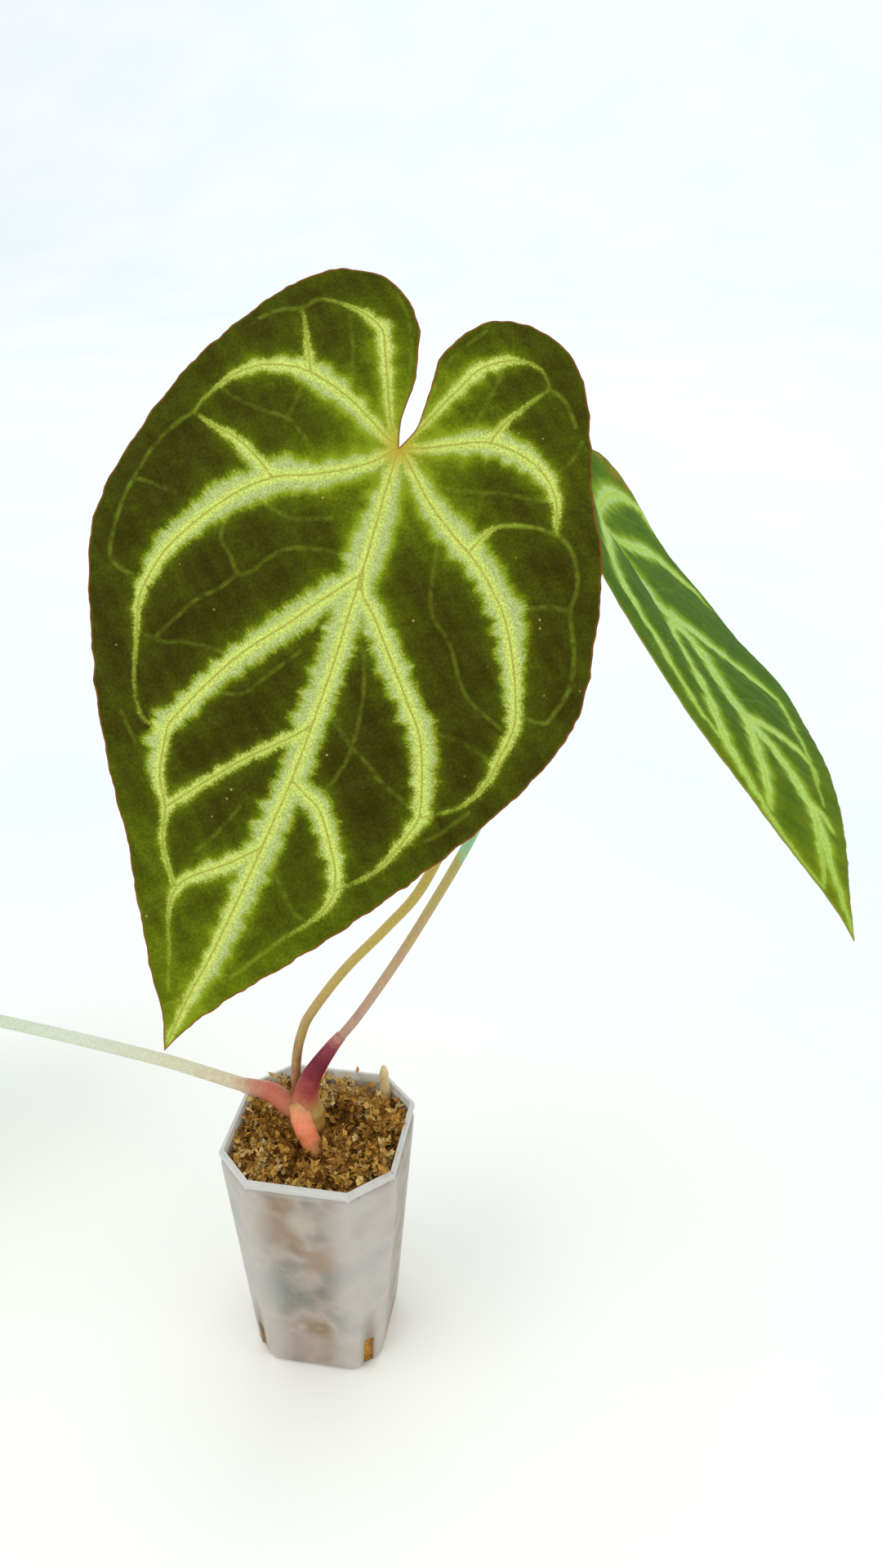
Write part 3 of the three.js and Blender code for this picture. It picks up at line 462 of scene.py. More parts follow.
    # the panels quilt up between the veins, and ribs stand out below
    toFine = np.minimum(toLoop, toNet)
    panel = (blade["quilting"] * (1 - np.exp(-(toVein / blade["quiltReach"]) ** 2))
             * np.minimum(toMargin / 8, 1))
    rib = (blade["ribHeight"] * np.exp(-(toVein / blade["ribFlank"]) ** 2)
           + 0.25 * np.exp(-(toFine / 0.7) ** 2)) * np.minimum(toMargin / 6, 1)
    groove = (-0.16 * np.exp(-(toFine / 0.8) ** 2)
              + 0.12 * np.exp(-(toVein / 0.5) ** 2) + 0.10 * waves(flat, 2.6, 3.0)
              + 0.22 * waves(flat, 7.0, 1.0)) * np.minimum(toMargin / 3, 1)
    half = 0.5 * blade["thickness"] * (0.5 + 0.5 * np.minimum(toMargin / 1.2, 1))
    upper = bladeSurface(leaf, u, v, panel + groove + half)
    lower = bladeSurface(leaf, u, v, panel + 0.5 * groove - half - rib)

    directed = np.vstack([triangles[:, [0, 1]], triangles[:, [1, 2]], triangles[:, [2, 0]]])
    codes = directed[:, 0] * total + directed[:, 1]
    a, b = directed[~np.isin(codes, directed[:, 1] * total + directed[:, 0])].T
    band = np.vstack([np.column_stack([a, b, b + total]), np.column_stack([a, b + total, a + total])])
    faces = np.vstack([triangles[:, ::-1], triangles + total, band])
    if leaf["mirror"] < 0:
        faces = faces[:, ::-1]
    flats = (bandDepth, toVein, alongVein, tooth, feather, light, toLoop, toNet, toMargin, tone, junction,
             age, burn)
    traits = [np.tile(values, 2) for values in flats] + [np.repeat([0, 1], total)]
    print(name, "has", len(faces), "triangles")
    return meshPiece(name, np.vstack([upper, lower]), faces, dict(zip(leafTraits, traits)))


# Velvet leaf skin: its surface cells stand up as tiny domes, which give a soft matt sheen and
# a dark panel colour; the pale bands are air-filled cells whose faint glints are painted into their colour
# as grains
def leafMaterial(name, look):
    material, add, shader = newMaterial(name, {
        "Sheen Weight": look["sheen"], "Sheen Roughness": 0.45, "Sheen Tint": look["sheenTint"],
        "Specular IOR Level": 0.05, "IOR": 1.42})
    read = {key: add("Attribute", attribute_name=key, out="Fac") for key in leafTraits}
    place = add("TexCoord", out="Object")
    # patterns by their size in mm, detail and roughness
    sizes = {"fray": (0.5, 4, 0.8), "mottle": (0.7, 4, 0.7), "faint": (2.2, 3, 0.5),
             "grain": (0.42, 2, 0.5), "few": (7, 2, 0.5)}
    pattern = {key: add("TexNoise", {"Vector": place, "Scale": 1 / (size * mm), "Detail": detail,
                                     "Roughness": rough}) for key, (size, detail, rough) in sizes.items()}
    # teeth of the bands: fine across the vein's way, long away from it, in tufts
    along = add("Math", (read["alongVein"], 1 / look["toothPitch"]), **times)
    away = add("Math", (read["toVein"], 0.35), **times)
    toothPlace = add("CombineXYZ", (along, away))
    teeth = add("TexNoise", {"Vector": toothPlace, "Scale": 1.0, "Detail": 4.0, "Roughness": 0.7})
    tufts = add("TexNoise", {"Vector": toothPlace, "Scale": 0.24, "Detail": 2.0})
    teeth = add("Math", (teeth, tufts), **plus)
    teeth = add("Math", (teeth, -1.0), **plus)
    edge = add("Math", (teeth, read["tooth"], read["bandDepth"]), **timesPlus)
    fray = add("MapRange", (pattern["fray"], 0.3, 0.7, -0.8, 0.8), **free)
    edge = add("Math", (edge, fray), **plus)
    start, full, outer = [add("Math", (read["feather"], share, rest), **timesPlus) for share, rest in (
        (-0.3, -0.1), (0.85, 0.05), (-look["fringeReach"], -0.4))]
    band = add("MapRange", (edge, start, full), **eased)
    fringe = add("MapRange", (edge, outer, 0.3, 0, look["fringeStrength"]), **eased)
    band, fringe = [add("Math", (share, read["light"]), **times) for share in (band, fringe)]
    # panels, with the fine veins glowing through
    tone = add("MapRange", (pattern["mottle"], 0.3, 0.7, -0.15, 0.15), **free)
    tone = add("Math", (read["tone"], tone), **plus)
    panel = add("ValToRGB", (tone,), stops=look["panel"])
    aged = add("Mix", {0: 1.0, 6: panel, 7: look["tipTint"]}, blend_type="MULTIPLY", **mixed)
    faint = add("MapRange", (pattern["faint"], 0.32, 0.66, 0.1 * look["glowStrength"],
                             1.8 * look["glowStrength"]))
    lines = [add("MapRange", (read[key], reach, 0.1, 0, strength), **eased) for key, reach, strength in (
        ("toVein", 0.9, 1.6), ("toLoop", 0.95, 0.36), ("toNet", 0.85, 0.24))]
    line = add("Math", (lines[0], read["light"]), **times)
    for other in lines[1:]:
        line = add("Math", (line, other), **most)
    glow = add("Math", (line, faint), **times)
    for share, colour in ((read["age"], aged), (glow, look["glow"]), (fringe, look["fringe"])):
        panel = add("Mix", {0: share, 6: panel, 7: colour}, **mixed)
    # bands: yellow green beside the vein, silver green further out, with painted grains of light
    silver = add("MapRange", (read["toVein"], 0.5, 2.3), **eased)
    pale = add("Mix", {0: silver, 6: look["bandMiddle"], 7: look["bandSilver"]}, **mixed)
    # painted glints: the band colour is lightened and dimmed grain by grain
    paintedSparkle = add("MapRange", (pattern["grain"], 0.35, 0.65, 0.7, 1.14), **free)
    pale = add("Mix", {0: 1.0, 6: pale, 7: paintedSparkle}, blend_type="MULTIPLY", **mixed)
    middle = add("MapRange", (read["toVein"], 0.4, 0.1, 0, 0.55), **eased)
    tan = add("MapRange", (read["junction"], 0.35, 0.95, 0, 0.8), **eased)
    for share, colour in ((middle, look["veinLine"]), (tan, look["junction"])):
        pale = add("Mix", {0: share, 6: pale, 7: colour}, **mixed)
    # sparse pale specks and the thin red brown margin
    specks = add("TexVoronoi", {"Vector": place, "Scale": 1 / (4.2 * mm)}, out="Distance")
    specks = add("MapRange", (specks, 0.085, 0.05, 0, 0.8), **eased)
    few = add("MapRange", (pattern["few"], 0.52, 0.6))
    specks = add("Math", (specks, few), **times)
    hem = add("MapRange", (read["toMargin"], 0.6, 0.2, 0, 0.8), **eased)
    # underside: paler and plain, its ribs lighter
    rib = add("MapRange", (read["toVein"], 2.2, 0.6), **eased)
    rib = add("Math", (rib, line), **most)
    under = add("ValToRGB", (tone,), stops=look["under"])
    for share, colour in ((rib, look["underRib"]), (hem, look["margin"])):
        under = add("Mix", {0: share, 6: under, 7: colour}, **mixed)
    skin = panel
    for share, colour in ((band, pale), (read["burn"], look["burn"]), (specks, look["speck"]),
                          (hem, look["margin"]), (read["underside"], under)):
        skin = add("Mix", {0: share, 6: skin, 7: colour}, **mixed)
    rough = add("MapRange", (band, 0, 1, 0.72, 0.5))
    height = add("Math", (pattern["grain"], pattern["mottle"]), **plus)
    bump = add("Bump", {"Height": height, "Strength": 0.35, "Distance": 0.3 * mm})
    dressShader(shader, {"Base Color": skin, "Roughness": rough, "Normal": bump})
    return material


looks = {
    "blade_front": {
        "name": "velvet leaf skin, grown", "slot": "velvet_leaf",
        "panel": [(0.0, "#312c04"), (0.2, "#3c3d06"), (0.42, "#4a5307"), (0.66, "#62700a"),
                  (0.92, "#809018")],
        "glow": "#8aa02c", "glowStrength": 0.6, "fringe": "#8f9f1a", "fringeReach": 0.75,
        "fringeStrength": 0.85, "bandMiddle": "#cddb68", "bandSilver": "#b7c477",
        "veinLine": "#8f7a26", "junction": "#c49f33", "speck": "#b3a256", "margin": "#8a5024",
        "toothPitch": 0.5, "burn": "#93772b", "tipTint": "#ffffff", "sheen": 0.02, "sheenTint": "#b9c48a",
        "under": [(0.0, "#6f7f30"), (0.5, "#7e8d3a"), (1.0, "#909d48")], "underRib": "#adb565"},
    "blade_right": {
        "name": "fresh velvet leaf skin, grown", "slot": "fresh_leaf",
        "panel": [(0.0, "#42621a"), (0.25, "#507018"), (0.5, "#68821a"), (0.75, "#869a22"),
                  (1.0, "#9aad2c")],
        "glow": "#9cbc42", "glowStrength": 0.4, "fringe": "#8cac2c", "fringeReach": 2.2,
        "fringeStrength": 0.8, "bandMiddle": "#b6d45c", "bandSilver": "#b2d07a",
        "veinLine": "#9db53f", "junction": "#a9b648", "speck": "#a8bf64", "margin": "#8d8a3c",
        "toothPitch": 1.2, "burn": "#9a7d27", "tipTint": "#fbeea4", "sheen": 0.01, "sheenTint": "#c8dca0",
        "under": [(0.0, "#6f8f3c"), (0.5, "#7d9a44"), (1.0, "#8da650")], "underRib": "#b0c06c"},
}
looks["blade_left"] = dict(looks["blade_right"], name="young velvet leaf skin, grown",
                           slot="young_leaf", toothPitch=0.7)
for name, leaf in leaves.items():
    look = looks[name]
    settle(makeBlade(name + "_leaf", leaf), name + "_leaf", leafMaterial(look["name"], look),
           look["slot"], name)
print("blades are made")


def makeTube(name, route, radii, sides, step):
    # a bezier curve through the route with a round section, turned into a mesh
    path = smoothPath(route, step)
    clearSelection()
    bpy.ops.curve.primitive_bezier_curve_add(location=(0, 0, 0))
    curve = bpy.context.object
    curve.data.dimensions = "3D"
    curve.data.splines.clear()
    spline = curve.data.splines.new("POLY")
    spline.points.add(len(path) - 1)
    length = step * (len(path) - 1)
    for i, (point, place) in enumerate(zip(spline.points, path)):
        point.co = (*(place * mm), 1)
        point.radius = radii(i / (len(path) - 1), length)
    curve.data.bevel_depth = mm
    curve.data.bevel_resolution = sides // 2 - 2
    curve.data.use_fill_caps = True
    curve.data.twist_mode = "MINIMUM"
    bpy.ops.object.convert(target="MESH")
    tube = bpy.context.object
    tube.name = name
    editAll()
    bpy.ops.mesh.remove_doubles(threshold=1e-6)
    bpy.ops.mesh.normals_make_consistent(inside=False)
    editDone()
    reach = np.linalg.norm(pointsOf(tube)[:, None, :] - path[None, ::2, :3], axis=2)
    keepNumbers(tube, {"along": np.argmin(reach, axis=1) / max(1, len(path[::2]) - 1)})
    pick(tube)
    bpy.ops.object.shade_smooth_by_angle(angle=math.radians(50))
    return tube


def blunt(share, start):
    # rounds the end of a tube off from start on
    return math.sqrt(max(0.02, 1 - (max(0, share - start) / (1.01 - start)) ** 2))


# Living stalk skin: smooth, waxy and faintly uneven, with small pale breathing pores
def stalkMaterial(name, colours, roughness, pore=0.25):
    material, add, shader = newMaterial(name, {"Specular IOR Level": 0.4, "IOR": 1.42,
                                               "Subsurface Weight": 0.08, "Subsurface Scale": 2 * mm})
    place = add("TexCoord", out="Object")
    cloud, fine = [add("TexNoise", {"Vector": place, "Scale": 1 / (size * mm), "Detail": 3.0})
                   for size in (6, 0.8)]
    shift = add("MapRange", (cloud, 0.3, 0.7, -0.05, 0.05), **free)
    where = add("Math", (add("Attribute", attribute_name="along", out="Fac"), shift), **plus)
    colour = add("ValToRGB", (where,), stops=colours)
    light = add("MapRange", (fine, 0.3, 0.7, 0.86, 1.1), **free)
    colour = add("Mix", {0: 1.0, 6: colour, 7: light}, blend_type="MULTIPLY", **mixed)
    pores = add("TexVoronoi", {"Vector": place, "Scale": 1 / (1.6 * mm)}, out="Distance")
    pores = add("MapRange", (pores, 0.16, 0.08, 0, pore))
    colour = add("Mix", {0: pores, 6: colour, 7: "#d8cf9c"}, **mixed)
    rough = add("MapRange", (fine, 0, 1, roughness - 0.08, roughness + 0.08))
    bump = add("Bump", {"Height": fine, "Strength": 0.3, "Distance": 0.3 * mm})
    dressShader(shader, {"Base Color": colour, "Roughness": rough, "Normal": bump})
    return material


# stalks: leaf, slot, radius in mm, colours from the foot to the blade, and the route in mm
stalk = {"seat": 4, "seatDepths": (9.85, 1.85, 0.6), "swell": 0.35, "swellLength": 13, "foot": 0.05,
         "footLength": 30, "sides": 14, "step": 1.5}
stalks = {
    "petiole_front": ("blade_front", "golden_stalk", 1.65, [
        (0.0, "#94643c"), (0.08, "#b1905a"), (0.25, "#bda652"), (0.45, "#b6a040"), (0.93, "#a59c46"),
        (1.0, "#b49446")], [
        (-8.9, 5.4, 104), (-9.1, 6.2, 109), (-8.6, 7.8, 118), (-6.7, 8.5, 126.6), (-2.9, 7.9, 136),
        (8.9, 9.4, 154.2), (23.1, 10, 172), (34.9, 8.7, 189.2), (46.7, 5.5, 217.8),
        (54.7, 1.7, 242.2), (58.4, -3.7, 262.8), (58.7, -9.4, 284.1), (55.8, -15.3, 301.6),
        (49.8, -23.4, 318.5)]),
    "petiole_right": ("blade_right", "pinkish_stalk", 1.6, [
        (0.0, "#7e3731"), (0.12, "#b28a76"), (0.22, "#c09d80"), (0.36, "#c0a56f"), (0.46, "#b8aa5e"),
        (0.51, "#9cc894"), (0.62, "#a3bd80"), (1.0, "#a3b56d")], [
        (-5.2, 1.3, 103.3), (-3.5, 2.5, 110.4), (-0.6, 4.5, 116.3), (4.1, 7.4, 123.4),
        (12.4, 10.8, 134.4), (24.6, 14.6, 154.6), (34, 18.5, 171.5), (45.6, 22.5, 194.3),
        (53.7, 26.9, 212.5), (62.8, 31.8, 233.6), (70.2, 37.7, 254.8), (75.1, 42, 275)]),
    "petiole_left": ("blade_left", "pale_stalk", 2.4, [
        (0.0, "#bb7358"), (0.1, "#cdb391"), (0.2, "#d2cda8"), (0.5, "#d6dbc0"), (0.9, "#ccd7b4"),
        (1.0, "#b9c890")], [
        (-9.6, -0.4, 100.8), (-13.2, 1.8, 102.8), (-18.4, 4, 103.5), (-27.5, 5.6, 103.2),
        (-44.3, 11, 101.9), (-61.3, 15.8, 101.1), (-96.6, 24.4, 98.6), (-133.5, 32.7, 95.9),
        (-158, 38.5, 93.5)]),
}
for name, (bladeName, slot, radius, colours, route) in stalks.items():
    leaf = leaves[bladeName]
    v = np.array([stalk["seat"] * leaf["scale"]])
    ends = [bladeSurface(leaf, 0 * v, v, np.array([-depth]))[0] for depth in stalk["seatDepths"]]
    thick = lambda share, length: radius * (
        1 + stalk["swell"] * math.exp(-((1 - share) * length / stalk["swellLength"]) ** 2)
        + stalk["foot"] * math.exp(-share * length / stalk["footLength"]))
    tube = makeTube(name, route + [tuple(p) for p in ends], thick, stalk["sides"], stalk["step"])
    skin = stalkMaterial(name.replace("petiole_", "") + " stalk skin, grown", colours, roughness=0.42)
    settle(tube, name + "_stalk", skin, slot, name)
print("stalks are made")

crown = {"radius": 6.6, "taper": 1.2, "scar": 0.28, "scars": 34, "blunt": 0.86}
crownTube = makeTube("stem", [(-4, -0.5, 74), (-5, 2.2, 90), (-5.3, 3, 105)],
                     lambda share, length: (crown["radius"] - crown["taper"] * share ** 3
                                            + crown["scar"] * math.sin(share * crown["scars"]))
                     * blunt(share, crown["blunt"]), sides=24, step=0.8)
settle(crownTube, "crown", stalkMaterial("crown bark, grown", [
    (0.0, "#6d4c22"), (0.45, "#8a6a2c"), (0.7, "#b18743"), (0.85, "#b99a4e"), (1.0, "#a8763c")],
    roughness=0.55), "stem_skin", "stem")

# the sheaths' radii are at the foot and at the tip
sheaths = {
    "sheath_right": ("maroon_sheath", (4.8, 1.9), [
        (-5, 1.7, 102.8), (-3.5, 2.5, 110.4), (-0.6, 4.5, 116.3), (4.1, 7.4, 123.4), (7, 8.6, 127.3)],
        [(0.0, "#bb7a4c"), (0.22, "#a8483a"), (0.38, "#7c1d28"), (0.6, "#6d1126"), (0.84, "#8a323c"),
         (1.0, "#b57f6c")]),
    "sheath_left": ("salmon_sheath", (4.6, 2.6), [
        (-6, 1.2, 98.6), (-10.6, 1.2, 101), (-13.6, 2, 102.4), (-18.4, 4, 103.3), (-28, 5.7, 103.1)],
        [(0.0, "#b07a4a"), (0.3, "#b9674c"), (0.55, "#bd6048"), (0.85, "#c08a6c"), (1.0, "#cdb391")]),
}
root = {"radius": 3.9, "taper": 0.2, "blunt": 0.74, "knots": 31, "knot": 0.025}
rootTube = makeTube("root", [(-6.6, 0.5, 102.5), (-4.6, -3.6, 98), (-2.2, -5.4, 93.4), (0.4, -6.8, 89),
                             (1.5, -7.6, 86)],
                    lambda share, length: root["radius"] * (1 - root["taper"] * share)
                    * blunt(share, root["blunt"]) * (1 + root["knot"] * math.sin(share * root["knots"])),
                    sides=18, step=0.6)
settle(rootTube, "air_root", stalkMaterial("air root skin, grown", [
    (0.0, "#b98a4c"), (0.15, "#e09466"), (0.35, "#f58f66"), (0.6, "#f08a5c"), (0.8, "#e2a062"),
    (1.0, "#cc984e")], roughness=0.45, pore=0.1), "root_skin", "aerial_root")
for name, (slot, (foot, tip), route, colours) in sheaths.items():
    tube = makeTube(name, route, lambda share, length: foot + (tip - foot) * (
        0.6 * share + 0.4 * math.sqrt(share)), sides=20, step=0.7)
    skin = stalkMaterial(name + " skin, grown", colours, roughness=0.4, pore=0.06)
    settle(tube, name + "_wrap", skin, slot, name)
print("crown, root and sheaths are made")


# Damp sphagnum: matt, felted strands; each sprig keeps its own shade value on a ramp from dark peat brown
# to straw, and sprigs low in the hollows and between heaps are painted darker as shade
def mossMaterial(name):
    material, add, shader = newMaterial(name, {"Roughness": 1.0, "Specular IOR Level": 0.05})
    place = add("TexCoord", out="Object")
    fine = add("TexNoise", {"Vector": place, "Scale": 1 / (1.5 * mm), "Detail": 4.0})
    shift = add("MapRange", (fine, 0.3, 0.7, -0.12, 0.12), **free)
    shade = add("Math", (add("Attribute", attribute_name="shade", out="Fac"), shift), **plus)
    colour = add("ValToRGB", (shade,), stops=[
        (0.0, "#4a3012"), (0.25, "#8b5f27"), (0.45, "#b9873c"), (0.62, "#cb9c4a"), (0.8, "#d9b262"),
        (0.92, "#e2c583"), (1.0, "#e8d3a0")])
    bump = add("Bump", {"Height": fine, "Strength": 0.8, "Distance": 0.6 * mm})
    dressShader(shader, {"Base Color": colour, "Normal": bump})
    return material


mossSkin = mossMaterial("damp sphagnum, packed")
# hollows, where sprigs stand lower and fewer and are painted darker as shade, and loose pale tufts:
# across, along, reach; no sprig stands in the clear rings round the stem and the root; the mouth and the
# wall are octagons by half width or by the width at the foot, its gain and its height, and by the leg of
# their corners; all in mm
moss = {"sprigs": 1200, "sprigLength": (4.5, 10), "clump": 7, "spread": 30, "crumb": 1.2,
        "crumbSize": 4, "deepest": 78, "lift": (-1.2, 4.6), "clear": [(-5, 2, 5.6), (0.5, -8, 5.4)],
        "hollows": [(-1.5, -12.5, 6.5), (3, -6, 4.5), (5, 6, 5.5)],
        "tufts": [(-25.5, -14.4, 5), (-14.5, -22, 4), (6, 23, 9), (15, 18, 6), (22, -8, 3.5)],
        "mouth": (29.6, 12.5), "mouthGap": 0.8, "wall": (46.5, 15.4, 94), "wallLeg": 11.6,
        "wallGap": 1.5, "above": 120, "strawShade": 0.93}

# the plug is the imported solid, cut finer and roughened
plugSource = bpy.data.objects["moss"]
plug = bpy.data.objects.new("moss_plug", plugSource.data.copy())
bpy.context.scene.collection.objects.link(plug)
plug.matrix_world = plugSource.matrix_world.copy()
pick(plug)
editAll()
bpy.ops.mesh.remove_doubles(threshold=1e-6)
bpy.ops.mesh.subdivide(number_cuts=3)
editDone()
crumb = bpy.data.textures.new("mossCrumb", "CLOUDS")
crumb.noise_scale = moss["crumbSize"] * mm
crumb.noise_depth = 3
rough = plug.modifiers.new("crumb", "DISPLACE")
rough.texture = crumb
rough.strength = -moss["crumb"] * mm
rough.mid_level = 1
bpy.ops.object.modifier_apply(modifier="crumb")
plugPoints = pointsOf(plug)
keepNumbers(plug, {"shade": 0.3 + 0.2 * waves(plugPoints, 9, 1.0) + 0.12 * waves(plugPoints, 3.4, 4.0)})
settle(plug, "moss_plug", mossSkin, "sphagnum_moss", "moss")


# one sprig of length 1, its stem three-sided and its leaves turned on round it by the spiral
sprig = {"steps": 5, "stem": 0.035, "third": 2.094, "leaves": 11, "spiral": 2.4, "leafSize": 0.23}


def sprigShape(seed):
    # a thin curved stem set round with small cupped leaves
    own = np.random.default_rng(seed)
    steps, points, faces = sprig["steps"], [], []
    bend = own.uniform(0.6, 1.5)
    stemAt = lambda t: np.array([math.sin(bend * t) / bend, 0, (1 - math.cos(bend * t)) / bend])
    around = lambda turn: np.array([0, math.cos(turn), math.sin(turn)])
    for i in range(steps + 1):
        t = i / steps
        points += [stemAt(t) + sprig["stem"] * (1 - 0.6 * t) * around(j * sprig["third"]) for j in range(3)]
    for i in range(steps):
        for j in range(3):
            a, b = i * 3 + j, i * 3 + (j + 1) % 3
            faces += [(a, b, b + 3), (a, b + 3, a + 3)]
    for i in range(sprig["leaves"]):
        t = 0.12 + 0.86 * i / (sprig["leaves"] - 1)
        centre = stemAt(t)
        forward = np.array([math.cos(bend * t), 0, math.sin(bend * t)])
        side = around(i * sprig["spiral"] + own.uniform(-0.3, 0.3))
        size = sprig["leafSize"] * (1.15 - 0.5 * abs(t - 0.75))
        flank = 0.42 * size * np.cross(forward, side)
        middle, cup = centre + size * (0.5 * side + 0.35 * forward), 0.12 * size * side
        base = len(points)
        points += [centre, middle + flank - cup, centre + size * (0.9 * side + 0.9 * forward),
                   middle - flank - cup]
        faces += [(base, base + 1, base + 2), (base, base + 2, base + 3)]
    return np.array(points), np.array(faces)


def octagonReach(angle, half, leg):
    # from the middle to the wall of an octagon of this half width and corner leg
    c, s = abs(math.cos(angle)), abs(math.sin(angle))
    return min(half / max(c, s), (2 * half - leg) / (c + s))


def hill(x, y, middle):
    x0, y0, reach = middle
    return math.exp(-((x - x0) ** 2 + (y - y0) ** 2) / reach ** 2)


shapes = [sprigShape(seed) for seed in range(5)]
allPoints, allFaces, allShades = [], [], []
offset = 0
while len(allPoints) < moss["sprigs"]:
    x, y = chance.uniform(-moss["spread"], moss["spread"], 2)
    if math.hypot(x, y) > octagonReach(math.atan2(y, x), *moss["mouth"]) - moss["mouthGap"]:
        continue
    hit, place = plug.ray_cast(Vector((x, y, moss["above"])) * mm, Vector((0, 0, -1)))[:2]
    if not hit or place.z < moss["deepest"] * mm:
        continue
    if any(math.hypot(x - x0, y - y0) < reach for x0, y0, reach in moss["clear"]):
        continue
    points, faces = shapes[chance.integers(len(shapes))]
    heap = 0.5 + 0.6 * float(waves([(x, y)], moss["clump"], 3.0)[0])
    for hollow in moss["hollows"]:
        heap -= 0.75 * hill(x, y, hollow)
    heap = min(max(heap, 0), 1)
    dry = max(hill(x, y, tuft) for tuft in moss["tufts"])
    if heap < 0.1 and chance.random() < 0.5:
        continue
    size = chance.uniform(*moss["sprigLength"])
    turn, tip, spin = [Matrix.Rotation(chance.uniform(low, high), 3, axis) for low, high, axis in (
        (0, 2 * math.pi, "Z"), (-0.9, 0.35, "Y"), (0, 2 * math.pi, "X"))]
    whole = np.array(turn @ tip @ spin) * size
    sunk, heaped = moss["lift"]
    lift = sunk + heaped * heap * chance.uniform(0, 1)
    moved = points @ whole.T + np.array(place) / mm + np.array([0, 0, lift])
    # nothing leans out past the pot's wall
    foot, gain, tall = moss["wall"]
    half = (foot + gain * np.minimum(moved[:, 2], tall) / tall) / 2 - moss["wallGap"]
    across, along = moved[:, 0], moved[:, 1]
    limit = np.array([octagonReach(a, h, moss["wallLeg"]) for a, h in zip(np.arctan2(along, across), half)])
    moved[:, :2] *= np.minimum(1, limit / np.maximum(np.hypot(across, along), 1e-6))[:, None]
    allPoints.append(moved)
    allFaces.append(faces + offset)
    # painted shade and light: sprigs low between heaps and in the hollows get darker values, those on heap
    # tops lighter; pale tufts are lighter and the rest differs at random
    shade = np.clip(0.47 + 0.72 * (heap - 0.45) + 0.3 * dry + chance.normal(0, 0.13), 0.04, 0.92)
    if chance.random() < 0.03 + 0.2 * dry:
        shade = moss["strawShade"]
    allShades.append(np.full(len(points), shade))
    offset += len(points)
sprigs = meshPiece("moss_sprigs", np.vstack(allPoints), np.vstack(allFaces),
                   {"shade": np.concatenate(allShades)})
settle(sprigs, "moss_sprigs", mossSkin, "sphagnum_moss")

strand = {"radius": 2.8, "taper": 0.5, "blunt": 0.85, "knots": 23, "knot": 0.08}
strandTube = makeTube("strand", [(18.6, 22.4, 76), (18.5, 23.2, 84), (18.2, 24.1, 91), (17.4, 25.8, 101.6)],
                      lambda share, length: strand["radius"] * (1 - strand["taper"] * share)
                      * blunt(share, strand["blunt"])
                      * (1 + strand["knot"] * math.sin(share * strand["knots"])), sides=14, step=0.7)
settle(strandTube, "dry_strand", stalkMaterial("dry moss stem", [
    (0.0, "#8f672c"), (0.4, "#bd9a5e"), (0.7, "#dac086"), (1.0, "#e0cc98")],
    roughness=0.8), "dry_moss_stem", "moss_strand")
print("moss is made")

pot = {"height": 94, "rim": 61.9, "base": 46.5, "rimLeg": 13.5, "baseLeg": 8, "wall": 0.6,
       "floor": 1.4, "lipProud": 0.8, "lipHeight": 2.4, "lipFlare": 1, "cornerRound": 2.6,
       "footRound": 1.3, "footInset": 3, "footRise": 0.6, "softEdge": 0.6, "slotWidth": 4.2,
       "slotHeight": 15, "slotDepth": 14, "slotRound": 0.9, "footRing": 21.5,
       # where the plastic pales to the lip, and where the moss shows over a slot, up and across
       "lipPale": (89, 91.5), "stainUp": (32, 16), "stainAcross": (5.5, 1),
       # what shows dimly through the front wall: place, reach and colour
       "clouds": [((-11, -29, 74), 13, "#b0906e"), ((-13, -27, 42), 17, "#8f988c"),
                  ((1, -30, 78), 7, "#d9cfb4"), ((7, -28, 60), 9, "#b89a7c"),
                  ((-7, -24, 12), 14, "#c7aea4")]}


def octagonCorners(share):
    # the corners of the pot's section at this share of its height
    half = (pot["base"] + (pot["rim"] - pot["base"]) * share) / 2
    k = half - (pot["baseLeg"] + (pot["rimLeg"] - pot["baseLeg"]) * share)
    return [(k, -half), (half, -k), (half, k), (k, half), (-k, half), (-half, k), (-half, -k), (-k, -half)]


def selectBy(piece, kind, test):
    # choose edges or faces of the piece in code, by their place
    if piece.mode != "OBJECT":
        editDone()
    for group in (piece.data.vertices, piece.data.edges, piece.data.polygons):
        group.foreach_set("select", [False] * len(group))
    for part in getattr(piece.data, kind):
        part.select = test(part)
    bpy.ops.object.mode_set(mode="EDIT")
    bpy.ops.mesh.select_mode(type={"edges": "EDGE", "polygons": "FACE"}[kind])


def endsOf(piece, edge):
    return [piece.data.vertices[i].co for i in edge.vertices]


def extrudeUp(rise, widen=None):
    bpy.ops.mesh.extrude_region_move(TRANSFORM_OT_translate={"value": (0, 0, rise * mm)})
    if widen:
        bpy.ops.transform.resize(value=(widen, widen, 1), center_override=(0, 0, 0))


clearSelection()
bpy.ops.mesh.primitive_cylinder_add(vertices=8, radius=pot["rim"] / 2 * mm, depth=pot["height"] * mm,
                                    location=(0, 0, pot["height"] * mm / 2))
shell = bpy.context.object
bpy.ops.object.transform_apply(location=True, rotation=True, scale=True)
halfway = pot["height"] / 2 * mm
lipShare = (pot["height"] - pot["lipHeight"] - pot["lipFlare"]) / pot["height"]
for point in shell.data.vertices:
    share = lipShare if point.co.z > halfway else 0
    corner = (round(math.atan2(point.co.y, point.co.x) / (math.pi / 4)) + 1) % 8
    x, y = octagonCorners(share)[corner]
    point.co = (x * mm, y * mm, share * pot["height"] * mm)
